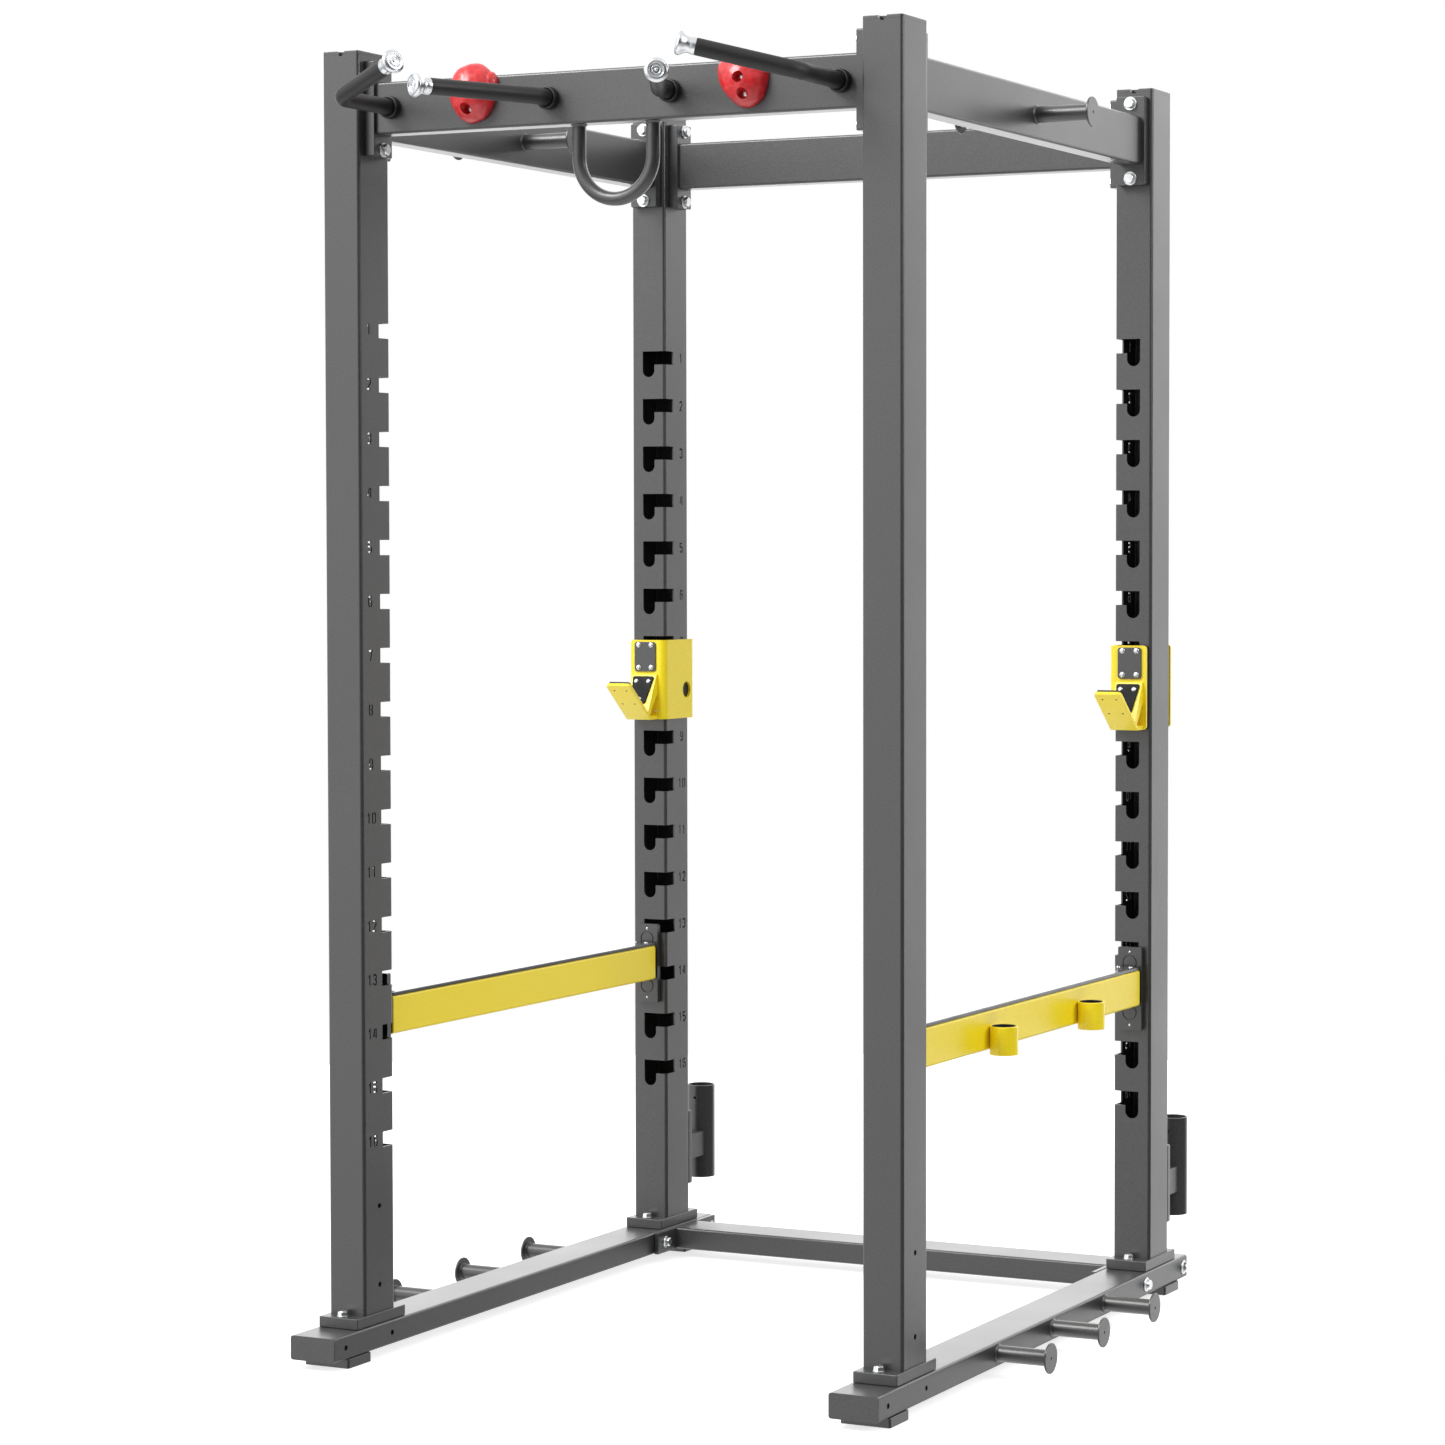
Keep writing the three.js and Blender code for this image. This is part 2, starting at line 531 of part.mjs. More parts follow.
for (const [sideName, side] of SIDES) {
  const x = side * POST_MID_X;
  add(`${sideName}_safety_bar`, safetyBar(side), SAFETY_YELLOW);
  add(`${sideName}_safety_front_bracket`, safetyBracket(side, POST_Y, 1), FRAME_GREY);
  add(`${sideName}_safety_rear_bracket`, safetyBracket(side, REAR_Y, -1), FRAME_GREY);
  const top = SAFETY.midZ + SAFETY.high / 2 + GAP;
  const strip = block(
    [x - SAFETY.wide / 2 + 1, SAFETY.front + 2, top],
    [x + SAFETY.wide / 2 - 1, SAFETY.rear - 2, top + SAFETY.strip]);
  add(`${sideName}_safety_strip`, strip, BLACK_PLASTIC);
}

// ---------------------------------------------------------------- origin
// Centre the model front to back, so that the origin is the middle of its footprint.
cage.updateMatrixWorld(true);
const extent = new THREE.Box3().setFromObject(cage, true);
cage.position.y = -(extent.min.y + extent.max.y) / 2;

export default cage;
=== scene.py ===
# %% [markdown]
# # A power cage, piece by piece
# A power cage is a welded and bolted steel frame: four slotted uprights stand on two base rails and are
# tied together by four top beams. Hooks and safety bars hang in the slots by pins. The steel is powder
# coated, which is why nearly every surface here is the same satin grey with a fine grain.
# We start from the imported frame, so each piece can be measured instead of guessed.

# %% Load the frame
import math

import bmesh
import bpy
from mathutils import Matrix, Vector, noise


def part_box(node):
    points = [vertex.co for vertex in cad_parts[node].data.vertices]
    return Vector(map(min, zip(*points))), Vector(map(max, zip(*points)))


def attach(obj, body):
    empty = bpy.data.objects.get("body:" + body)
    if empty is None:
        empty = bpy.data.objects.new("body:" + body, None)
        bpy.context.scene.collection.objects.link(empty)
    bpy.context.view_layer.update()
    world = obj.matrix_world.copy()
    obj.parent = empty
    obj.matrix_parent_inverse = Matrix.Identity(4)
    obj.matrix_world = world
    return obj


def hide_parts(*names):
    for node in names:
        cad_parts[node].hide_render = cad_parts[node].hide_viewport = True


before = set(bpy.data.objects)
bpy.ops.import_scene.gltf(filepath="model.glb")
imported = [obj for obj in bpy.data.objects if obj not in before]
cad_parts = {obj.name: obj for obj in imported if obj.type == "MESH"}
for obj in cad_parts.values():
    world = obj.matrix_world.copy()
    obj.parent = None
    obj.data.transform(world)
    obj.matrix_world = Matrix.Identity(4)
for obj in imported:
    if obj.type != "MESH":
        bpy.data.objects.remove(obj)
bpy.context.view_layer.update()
scene = bpy.context.scene

# %% [markdown]
# ## Working in millimetres
# Steel is drawn in millimetres, so every shape below is too. The drawing has y = 0 at the front face of
# the front uprights. One matrix then carries a finished shape into the frame's metres.

# %% From the drawing to the frame
MM = 0.001
FRONT_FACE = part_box("front_left_cap")[0].y
TO_FRAME = Matrix.Translation((0, FRONT_FACE, 0)) @ Matrix.Scale(MM, 4)
FROM_FRAME = TO_FRAME.inverted()
X, Y, Z = Vector((1, 0, 0)), Vector((0, 1, 0)), Vector((0, 0, 1))
SIDES = {"left": -1, "right": 1}


def box_mm(node):
    """A node's lowest and highest corners, in millimetres of the drawing."""
    low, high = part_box(node)
    return FROM_FRAME @ low, FROM_FRAME @ high


POST_LOW, POST_HIGH = box_mm("front_right_cap")
POST_X = (POST_LOW.x + POST_HIGH.x) / 2
print("upright section:", [round(v, 1) for v in POST_HIGH - POST_LOW], "centre x", round(POST_X, 1))

# %% [markdown]
# ## Camera, light and floor
# The cage is taller than a person, so it is seen from a long way off through a long lens: the verticals
# stay nearly parallel. A small sideways lens shift frames it without turning the camera.

# %% Camera
camera = bpy.data.objects.new("camera", bpy.data.cameras.new("camera"))
camera.data.lens = 94.32
camera.data.sensor_width = 36.0
camera.data.shift_x = -0.12284
camera.data.shift_y = -0.01557
camera.data.clip_end = 200.0
TURN, DROP = 0.4437, 0.0393
camera.location = (3.36438, -6.42644, 1.49732)
camera.rotation_euler = (math.pi / 2 - DROP, 0.0, TURN)
scene.collection.objects.link(camera)
scene.camera = camera
scene.view_settings.view_transform = "Standard"

# %% [markdown]
# A white studio is bright behind the object and in front of it on the left, and dark on the camera's
# right. Faces seen nearly edge on mirror the bright wall behind. Rounded corners catch the dark side as a
# thin dark line, which is what makes a tube read as a tube. So the light is written down by its bearing,
# all the way round. The eye itself sees an even white backdrop.

# %% Studio light
def add(tree, kind, inputs=None, **settings):
    """Adds one shader node with its settings, then fills its inputs with values or links."""
    made = tree.nodes.new(kind)
    for name, value in settings.items():
        setattr(made, name, value)
    for name, value in (inputs or {}).items():
        if isinstance(value, bpy.types.NodeSocket):
            tree.links.new(value, made.inputs[name])
        else:
            made.inputs[name].default_value = value
    return made


# Bearing in degrees, anticlockwise from the cage's right, and how bright the wall is there.
WALL_LIGHT = {-180: 0.9, -150: 1.3, -116: 1.75, -92: 0.9, -68: 0.06, 0: 0.04, 40: 0.12, 60: 0.2,
              73: 2.0, 130: 2.0, 150: 0.9}
BRIGHTEST = 2.0
OVERHEAD = 1.0
LOW_WALL = 0.45
UNDERFOOT = 1.3

world = bpy.data.worlds.new("studio")
world.use_nodes = True
scene.world = world
sky = world.node_tree
sky.nodes.clear()
direction = add(sky, "ShaderNodeTexCoord").outputs["Generated"]
bearing = add(sky, "ShaderNodeTexGradient", {"Vector": direction}, gradient_type="RADIAL")
walls = add(sky, "ShaderNodeValToRGB", {"Fac": bearing.outputs["Fac"]})
stops = walls.color_ramp.elements
while len(stops) < len(WALL_LIGHT):
    stops.new(1.0)
for stop, (angle, value) in zip(stops, WALL_LIGHT.items()):
    stop.position = (angle + 180) / 360
    stop.color = (*[value / BRIGHTEST] * 3, 1.0)
height = add(sky, "ShaderNodeSeparateXYZ", {"Vector": direction}).outputs["Z"]
around = add(sky, "ShaderNodeBackground", {"Color": walls.outputs["Color"], "Strength": BRIGHTEST})


def blend_towards(shader, strength, start, end):
    """Fades the light into one even value, as its direction goes from one height to another."""
    share = add(sky, "ShaderNodeMapRange", {
        "Value": height, "From Min": start, "From Max": end}, interpolation_type="SMOOTHSTEP")
    even = add(sky, "ShaderNodeBackground", {"Color": (1.0, 1.0, 1.0, 1.0), "Strength": strength})
    return add(sky, "ShaderNodeMixShader", {
        0: share.outputs["Result"], 1: shader.outputs[0], 2: even.outputs[0]})


lit = blend_towards(around, OVERHEAD, 0.2, 0.7)
lit = blend_towards(lit, LOW_WALL, -0.2, -0.36)
lit = blend_towards(lit, UNDERFOOT, -0.5, -0.75)
seen = add(sky, "ShaderNodeBackground", {"Color": (1.0, 1.0, 1.0, 1.0), "Strength": 1.0})
eye = add(sky, "ShaderNodeLightPath").outputs["Is Camera Ray"]
both = add(sky, "ShaderNodeMixShader", {0: eye, 1: lit.outputs[0], 2: seen.outputs[0]})
add(sky, "ShaderNodeOutputWorld", {"Surface": both.outputs[0]})


def softbox(name, place, aim, size, power):
    """A large square lamp at a place, pointing at another place, in metres."""
    lamp = bpy.data.objects.new(name, bpy.data.lights.new(name, "AREA"))
    lamp.data.shape = "SQUARE"
    lamp.data.size = size
    lamp.data.energy = power
    lamp.location = place
    lamp.rotation_euler = (Vector(aim) - Vector(place)).to_track_quat("-Z", "Y").to_euler()
    scene.collection.objects.link(lamp)


softbox("key_light", (-3.0, -4.5, 6.5), (0, 0, 1.2), 3.0, 440.0)
softbox("fill_light", (6.2, 0.5, 4.0), (0, 0, 1.2), 3.0, 165.0)
softbox("back_light", (1.5, 5.5, 4.0), (0, 0, 1.2), 3.0, 20.0)
print("camera and lights are set")

# %% [markdown]
# ## Finishes
# Every finish is a Principled shader. Its colours are written as sRGB hex, the way a paint card gives
# them, and one function turns them into the linear numbers that the shader works in.

# %% Colour and grain helpers
def linear(code):
    """sRGB hex to a linear colour with alpha."""
    channels = [int(code[i:i + 2], 16) / 255 for i in (1, 3, 5)]
    return (*[c / 12.92 if c <= 0.04045 else ((c + 0.055) / 1.055) ** 2.4 for c in channels], 1.0)


def finish(name, roughness, metallic=0.0, coat=0.0, coat_roughness=0.1):
    """A new material. Returns it with its node tree, its shader and its object coordinates."""
    material = bpy.data.materials.new(name)
    material.use_nodes = True
    tree = material.node_tree
    tree.nodes.clear()
    shader = add(tree, "ShaderNodeBsdfPrincipled", {
        "Roughness": roughness, "Metallic": metallic, "Coat Weight": coat, "Coat Roughness": coat_roughness})
    add(tree, "ShaderNodeOutputMaterial", {"Surface": shader.outputs[0]})
    coordinates = add(tree, "ShaderNodeTexCoord").outputs["Object"]
    return material, tree, shader, coordinates


def per_metre(size_mm):
    """The noise scale whose features are about this many millimetres across."""
    return 1000.0 / size_mm


def grain(tree, shader, coordinates, size_mm, height_mm, detail=2.0):
    """A fine bump over the whole surface. Returns the noise, for colour to follow."""
    texture = add(tree, "ShaderNodeTexNoise", {
        "Vector": coordinates, "Scale": per_metre(size_mm), "Detail": detail, "Roughness": 0.6})
    bump = add(tree, "ShaderNodeBump", {
        "Height": texture.outputs["Fac"], "Strength": 0.6, "Distance": height_mm * MM})
    tree.links.new(bump.outputs[0], shader.inputs["Normal"])
    return texture.outputs["Fac"]


def shades(tree, factor, dark, light, low=0.35, high=0.65):
    """Two colours mixed by a 0 to 1 factor, between two of its values."""
    ramp = add(tree, "ShaderNodeValToRGB", {"Fac": factor})
    ramp.color_ramp.elements[0].position = low
    ramp.color_ramp.elements[0].color = linear(dark)
    ramp.color_ramp.elements[1].position = high
    ramp.color_ramp.elements[1].color = linear(light)
    return ramp.outputs["Color"]


def drift(tree, coordinates, size_mm, low, high):
    """A slow change of a value from place to place, as handling and dust leave on a surface."""
    texture = add(tree, "ShaderNodeTexNoise", {
        "Vector": coordinates, "Scale": per_metre(size_mm), "Detail": 3.0})
    return add(tree, "ShaderNodeMapRange", {
        "Value": texture.outputs["Fac"], "From Min": 0.3, "From Max": 0.7,
        "To Min": low, "To Max": high}).outputs["Result"]


# %% [markdown]
# ### Powder coat
# Powder coat is plastic dust melted onto the steel. Its skin is full of tiny domes, about half a
# millimetre across, under a satin film. The eye gets two things from that: a fine sparkle of lighter and
# darker specks face on, and a strong pale sheen wherever the surface is seen nearly edge on. The sheen is
# a coat layer over a dull base. Real grain would be too fine to show, so it is drawn 3 mm across.

# %% Powder coats
POWDER_GRAIN = 3.0


def powder_coat(name, dark, light, roughness, coat, coat_roughness):
    material, tree, shader, coordinates = finish(name, roughness, coat=coat, coat_roughness=coat_roughness)
    specks = grain(tree, shader, coordinates, POWDER_GRAIN, 0.55)
    tree.links.new(shades(tree, specks, dark, light), shader.inputs["Base Color"])
    tree.links.new(drift(tree, coordinates, 240.0, roughness - 0.04, roughness + 0.05),
                   shader.inputs["Roughness"])
    return material


FRAME_GREY = powder_coat("charcoal powder coat", "#262627", "#343435", 0.42, 1.0, 0.34), "frame_powder_coat"
YELLOW = (powder_coat("safety yellow powder coat", "#FADC12", "#FFE81C", 0.42, 0.35, 0.25),
          "yellow_powder_coat")

# %% [markdown]
# ### Grip rubber, moulded nylon, zinc and chrome
# Grip rubber is the dullest thing on the cage, almost black, with a matt bloom. Moulded nylon is a touch
# glossier, and its skin is pebbled by the spark-eroded mould. The ramp pad gets a darker nylon that hardly
# reflects: painted shade, so its upturned face stays dark.
# Bolts are bright zinc and the caps are chrome, a shade cooler. Both are metals, so their colour is in
# their reflection, and a faint brushing breaks it up.

# %% Rubber, nylon and metals
def rubber():
    material, tree, shader, coordinates = finish("black grip rubber", 0.5)
    specks = grain(tree, shader, coordinates, 2.0, 0.2)
    tree.links.new(shades(tree, specks, "#131313", "#1C1C1C"), shader.inputs["Base Color"])
    tree.links.new(drift(tree, coordinates, 60.0, 0.44, 0.58), shader.inputs["Roughness"])
    return material


def nylon(name, dark, light, coat=0.0, shine=0.5):
    material, tree, shader, coordinates = finish(name, 0.42, coat=coat, coat_roughness=0.16)
    shader.inputs["Specular IOR Level"].default_value = shine
    specks = grain(tree, shader, coordinates, 1.6, 0.25)
    tree.links.new(shades(tree, specks, dark, light), shader.inputs["Base Color"])
    tree.links.new(drift(tree, coordinates, 40.0, 0.36, 0.5), shader.inputs["Roughness"])
    return material


def plated(name, colour, dull, roughness):
    """Plated steel: a metal with turning marks too fine to see one by one."""
    material, tree, shader, coordinates = finish(name, roughness, metallic=1.0)
    marks = grain(tree, shader, coordinates, 0.8, 0.02)
    tree.links.new(shades(tree, marks, dull, colour, 0.3, 0.6), shader.inputs["Base Color"])
    tree.links.new(drift(tree, coordinates, 15.0, roughness - 0.03, roughness + 0.06),
                   shader.inputs["Roughness"])
    return material


GRIP_RUBBER = rubber(), "grip_rubber"
NYLON = nylon("black moulded nylon", "#131414", "#1C1D1D"), "moulded_plastic"
# Painted shade: a darker copy of the nylon with little reflection, for the ramp pad's upturned face.
SHADED_NYLON = nylon("shaded nylon pad", "#101111", "#191A1A", shine=0.12), "moulded_plastic"
WEAR_STRIP = nylon("polished nylon wear strip", "#242526", "#2E2F30", coat=1.0), "moulded_plastic"
CHROME = plated("chrome plate", "#E4E6E8", "#D6D9DC", 0.27), "chrome_plate"
ZINC = plated("bright zinc plate", "#F3F4F5", "#DCE0E3", 0.26), "chrome_plate"

# %% [markdown]
# ### Cast resin
# The climbing holds are polyester resin, poured into a rubber mould that was carved by hand. The colour
# goes right through, and a wet-looking skin covers shallow dents, so light breaks into soft patches.

# %% Resin
def resin():
    material, tree, shader, coordinates = finish("red cast resin", 0.38, coat=0.3, coat_roughness=0.18)
    specks = grain(tree, shader, coordinates, 9.0, 0.5, detail=3.0)
    tree.links.new(shades(tree, specks, "#BE1C22", "#D62F34"), shader.inputs["Base Color"])
    tree.links.new(drift(tree, coordinates, 25.0, 0.28, 0.42), shader.inputs["Roughness"])
    return material


RED_RESIN = resin(), "red_resin"

# %% [markdown]
# ## Tools for shapes
# Nearly all of the cage is bar and tube, so a few small tools cover it: a block with broken edges, a
# tube, a turned piece, a bent round bar and a flat outline given thickness. Each returns a bmesh, which
# is a mesh still on the bench.

# %% Blocks and tubes
EDGE = 1.0          # the radius that deburring leaves on cut steel
GAP = 0.3           # the clearance between pieces that are bolted together


def bevel(shape, edges, radius, segments=3):
    bmesh.ops.bevel(shape, geom=edges, offset=radius, segments=segments, profile=0.5,
                    affect="EDGES", clamp_overlap=True, material=-1)


def direction_of(edge):
    return (edge.verts[1].co - edge.verts[0].co).normalized()


def along(shape, axis):
    """The straight edges that run along an axis."""
    return [edge for edge in shape.edges if abs(direction_of(edge).dot(axis)) > 0.999]


def square_to(shape, axis):
    """The straight edges that run square to an axis."""
    return [edge for edge in shape.edges if abs(direction_of(edge).dot(axis)) < 0.1]


def sharp_edges(shape, least=0.8):
    """Edges between two faces that turn by more than an angle, in radians."""
    return [edge for edge in shape.edges if len(edge.link_faces) == 2 and edge.calc_face_angle() > least]


def verts_of(parts):
    return [part for part in parts if isinstance(part, bmesh.types.BMVert)]


def edges_of(parts):
    return [part for part in parts if isinstance(part, bmesh.types.BMEdge)]


def block(low, high, edge=EDGE, segments=2):
    """A rectangular block between two corners, with its edges broken."""
    low, high = Vector(low), Vector(high)
    shape = bmesh.new()
    bmesh.ops.create_cube(shape, size=1.0)
    bmesh.ops.scale(shape, vec=[abs(v) for v in high - low], verts=shape.verts)
    bmesh.ops.translate(shape, vec=(low + high) / 2, verts=shape.verts)
    if edge:
        bevel(shape, shape.edges[:], edge, segments)
    return shape


def slab(low, high, axis, corner, edge=EDGE, corner_steps=4, edge_steps=2):
    """A thick plate: corners rounded along one axis, then the edges of both faces broken."""
    shape = block(low, high, edge=0)
    bevel(shape, along(shape, axis), corner, corner_steps)
    bevel(shape, square_to(shape, axis), edge, edge_steps)
    return shape


def tube(low, high, axis, corner, wall):
    """A rectangular tube that fills a box, open at both ends along an axis."""
    shape = block(low, high, edge=0)
    bevel(shape, along(shape, axis), corner, 6)
    shape.normal_update()
    ends = [face for face in shape.faces if abs(face.normal.dot(axis)) > 0.9]
    bmesh.ops.delete(shape, geom=ends, context="FACES_ONLY")
    bmesh.ops.recalc_face_normals(shape, faces=shape.faces)
    middle = (Vector(low) + Vector(high)) / 2
    some = shape.faces[0]
    if some.normal.dot(some.calc_center_median() - middle) < 0:
        bmesh.ops.reverse_faces(shape, faces=shape.faces)
    bmesh.ops.solidify(shape, geom=shape.faces[:], thickness=wall)
    return shape


def merge(*shapes):
    """Puts several shapes on one bench, still as separate bodies."""
    target = shapes[0]
    for shape in shapes[1:]:
        carrier = bpy.data.meshes.new("carrier")
        shape.to_mesh(carrier)
        shape.free()
        target.from_mesh(carrier)
        bpy.data.meshes.remove(carrier)
    return target


# %% [markdown]
# Pegs, pins, caps and screws are round, so they are turned: a half outline is spun round an axis, as on a
# lathe. A bent bar is a circle that is pulled along the straights and spun through the bends.

# %% Turned pieces and bent bar
def aim(direction):
    """The rotation that stands a piece's z axis along a direction."""
    return Vector(direction).to_track_quat("Z", "Y").to_matrix().to_4x4()


def turned(profile, place, direction=Z, steps=48):
    """Spins (radius, height) points round an axis, as a lathe does."""
    shape = bmesh.new()
    points = [shape.verts.new((radius, 0, height)) for radius, height in profile]
    line = [shape.edges.new(pair) for pair in zip(points, points[1:])]
    bmesh.ops.spin(shape, geom=points + line, cent=(0, 0, 0), axis=(0, 0, 1), angle=math.tau,
                   steps=steps, use_merge=True)
    bmesh.ops.remove_doubles(shape, verts=shape.verts, dist=1e-4)
    bmesh.ops.recalc_face_normals(shape, faces=shape.faces)
    bmesh.ops.transform(shape, matrix=Matrix.Translation(place) @ aim(direction), verts=shape.verts)
    return shape


def cylinder(start, end, radius, steps=32):
    span = Vector(end) - Vector(start)
    return turned([(0, 0), (radius, 0), (radius, span.length), (0, span.length)], start, span, steps)


def bent_bar(points, bend, radius, sides=32, bend_steps=14):
    """A round bar through some points, each corner bent to a radius: extrude, spin, extrude."""
    points = [Vector(point) for point in points]
    shape = bmesh.new()
    start = Matrix.Translation(points[0]) @ aim(points[1] - points[0])
    bmesh.ops.create_circle(shape, segments=sides, radius=radius, matrix=start)
    first = ring = shape.edges[:]
    here = points[0]
    for i in range(1, len(points) - 1):
        into = (points[i] - points[i - 1]).normalized()
        out = (points[i + 1] - points[i]).normalized()
        angle = into.angle(out)
        back = bend * math.tan(angle / 2)
        ring = pull(shape, ring, points[i] - into * back - here)
        here = points[i] + out * back
        side = (out - into * into.dot(out)).normalized()
        spun = bmesh.ops.spin(shape, geom=ring, cent=points[i] - into * back + side * bend,
                              axis=into.cross(out).normalized(), angle=angle, steps=bend_steps)
        ring = edges_of(spun["geom_last"])
    last = pull(shape, ring, points[-1] - here)
    bmesh.ops.contextual_create(shape, geom=first)
    bmesh.ops.contextual_create(shape, geom=last)
    bmesh.ops.recalc_face_normals(shape, faces=shape.faces)
    return shape


def pull(shape, ring, step):
    """Extrudes a ring of edges by a step, and returns the new ring."""
    made = bmesh.ops.extrude_edge_only(shape, edges=ring)["geom"]
    verts = verts_of(made)
    bmesh.ops.translate(shape, vec=step, verts=verts)
    moved = set(verts)
    return [edge for edge in edges_of(made) if set(edge.verts) <= moved]


def thicken(shape, step):
    """Extrudes a flat face by a step, into a closed solid."""
    made = bmesh.ops.extrude_face_region(shape, geom=shape.faces[:])["geom"]
    bmesh.ops.translate(shape, vec=step, verts=verts_of(made))
    bmesh.ops.recalc_face_normals(shape, faces=shape.faces)
    return shape


def plate(outline, thickness):
    """A flat outline of corner points, given thickness along a vector."""
    shape = bmesh.new()
    shape.faces.new([shape.verts.new(point) for point in outline])
    return thicken(shape, thickness)


# %% [markdown]
# Slots, holes and numerals are cut with a Boolean modifier: a cutter is drawn where the metal must go, and
# subtracted. The modifier needs objects, so the two shapes become objects for a moment.

# %% Cutting
def as_object(name, shape):
    mesh = bpy.data.meshes.new(name)
    shape.to_mesh(mesh)
    shape.free()
    made = bpy.data.objects.new(name, mesh)
    scene.collection.objects.link(made)
    return made


def discard(thing):
    mesh = thing.data
    bpy.data.objects.remove(thing)
    bpy.data.meshes.remove(mesh)


def cut(shape, *cutters, operation="DIFFERENCE"):
    """Cuts one shape by others, one after another."""
    blank = as_object("blank", shape)
    tools = [as_object("cutter", cutter) for cutter in cutters]
    for tool in tools:
        modifier = blank.modifiers.new("cut", "BOOLEAN")
        modifier.operation = operation
        modifier.solver = "EXACT"
        modifier.object = tool
    result = bmesh.new()
    evaluated = blank.evaluated_get(bpy.context.evaluated_depsgraph_get())
    result.from_mesh(evaluated.to_mesh())
    evaluated.to_mesh_clear()
    for thing in (blank, *tools):
        discard(thing)
    bmesh.ops.remove_doubles(result, verts=result.verts, dist=1e-3)
    bmesh.ops.dissolve_degenerate(result, edges=result.edges, dist=1e-3)
    return result


# %% [markdown]
# ## Handing a piece over
# A finished shape gets its material, smooth shading that stops at real corners, and weighted normals, so
# that a flat face stays flat right up to its rounded edge. Then it rides on its body of the frame and
# stands for the plain solid there.

# %% Finishing a piece
def place(name, shape, look, body="root", stands_for=(), corner=40.0):
    """Turns a shape into a finished piece. A look is a finish and the slot it belongs to; the slot is not
    used.
    """
    material, slot = look
    bmesh.ops.transform(shape, matrix=TO_FRAME, verts=shape.verts)
    piece = as_object(name, shape)
    piece.data.materials.append(material)
    piece.data.shade_smooth()
    piece.data.set_sharp_from_angle(angle=math.radians(corner))
    weights = piece.modifiers.new("flat faces", "WEIGHTED_NORMAL")
    weights.keep_sharp = True
    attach(piece, body)
    if stands_for:
        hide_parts(*stands_for)
    print(f"{name}: {len(piece.data.polygons)} faces, on {body}")


def steel(node, shape):
    """Finishes the grey steel that stands for one node of the frame."""
    place(node + "_steel", shape, FRAME_GREY, stands_for=[node])


def for_side(side, shape):
    """Shapes are drawn for the right side of the cage, and flipped for the left."""
    if side < 0:
        bmesh.ops.scale(shape, vec=(-1, 1, 1), verts=shape.verts)
        bmesh.ops.reverse_faces(shape, faces=shape.faces)
    return shape


# %% [markdown]
# ## Slot numerals
# The numerals beside the slots are cut by laser right through the wall. A laser-cut 0 or 8 would drop its
# middle on the floor, so stencil figures are drawn as separate strokes with bridges of metal between
# them. Each stroke is a bent strip with mitred corners, drawn on a grid one wide and two high.

# %% Stencil figures
FIGURE_HIGH = 21.5
FIGURE_WIDE = 13.0
FIGURE_STEP = 17.0
STROKE = 3.3
CUT_DEEP = 8.0
C_HALF = [(0.34, 2), (0.26, 2), (0, 1.7), (0, 0.3), (0.26, 0), (0.34, 0)]
S_HALF = [(0.34, 2), (0.26, 2), (0, 1.75), (0, 1.28), (0.2, 1.02), (0, 0.77), (0, 0.3), (0.26, 0), (0.34, 0)]
HOOKED = [(0.95, 1.75), (0.7, 2), (0.3, 2), (0, 1.7), (0, 0.3), (0.26, 0), (0.34, 0)]
BOWL = [(0.42, 1.15), (0.72, 1.15), (1, 0.88), (1, 0.3), (0.74, 0), (0.66, 0)]


def turned_over(points):
    return [(1 - x, 2 - y) for x, y in points]


STROKES = {
    "0": [C_HALF, turned_over(C_HALF)],
    "1": [[(0.1, 1.6), (0.55, 2), (0.55, 0)]],
    "2": [[(0, 1.6), (0.25, 2), (0.75, 2), (1, 1.7), (1, 1.3), (0, 0), (1, 0)]],
    "3": [[(0, 1.7), (0.25, 2), (0.75, 2), (1, 1.7), (1, 1.3), (0.66, 1.03), (1, 0.75), (1, 0.3), (0.75, 0),
           (0.25, 0), (0, 0.3)]],
    "4": [[(0.85, 2), (0.85, 0)], [(0.45, 2), (0, 0.6), (0.5, 0.6)]],
    "5": [[(1, 2), (0, 2), (0, 1.15), (0.7, 1.15), (1, 0.85), (1, 0.3), (0.7, 0), (0.25, 0), (0, 0.3)]],
    "6": [HOOKED, BOWL],
    "7": [[(0, 2), (1, 2), (0.4, 0)]],
    "8": [S_HALF, turned_over(S_HALF)],
    "9": [turned_over(HOOKED), turned_over(BOWL)],
}


def strip(points, half):
    """The outline of a flat strip along some points, mitred at its corners."""
    one, other = [], []
    for i, here in enumerate(points):
        into = (here - points[i - 1]).normalized() if i else (points[1] - here).normalized()
        out = (points[i + 1] - here).normalized() if i + 1 < len(points) else into
        way = (into + out).normalized()
        across = Vector((-way.y, way.x, 0)) * half / max(0.5, way.dot(out))
        one.append(here + across)
        other.append(here - across)
    return one + other[::-1]


def figure(digit):
    """One digit as a solid cutter, drawn in the xy plane and centred on the origin."""
    wide, high = FIGURE_WIDE - STROKE, (FIGURE_HIGH - STROKE) / 2
    parts = []
    for points in STROKES[digit]:
        line = [Vector(((x - 0.5) * wide, (y - 1) * high, -CUT_DEEP / 2)) for x, y in points]
        parts.append(plate(strip(line, STROKE / 2), (0, 0, CUT_DEEP)))
    shape = merge(*parts)
    mesh = bpy.data.meshes.new("figure " + digit)
    shape.to_mesh(mesh)
    shape.free()
    return mesh


FIGURES = {digit: figure(digit) for digit in STROKES}
print("figures cut:", {digit: len(mesh.polygons) for digit, mesh in FIGURES.items()})


def numeral(number, place_matrix):
    """A number of one or two figures, set by a matrix."""
    shape = bmesh.new()
    word = str(number)
    for i, digit in enumerate(word):
        glyph = bmesh.new()
        glyph.from_mesh(FIGURES[digit])
        step = (i - (len(word) - 1) / 2) * FIGURE_STEP
        bmesh.ops.translate(glyph, vec=(step, 0, 0), verts=glyph.verts)
        merge(shape, glyph)
    bmesh.ops.transform(shape, matrix=place_matrix, verts=shape.verts)
    return shape


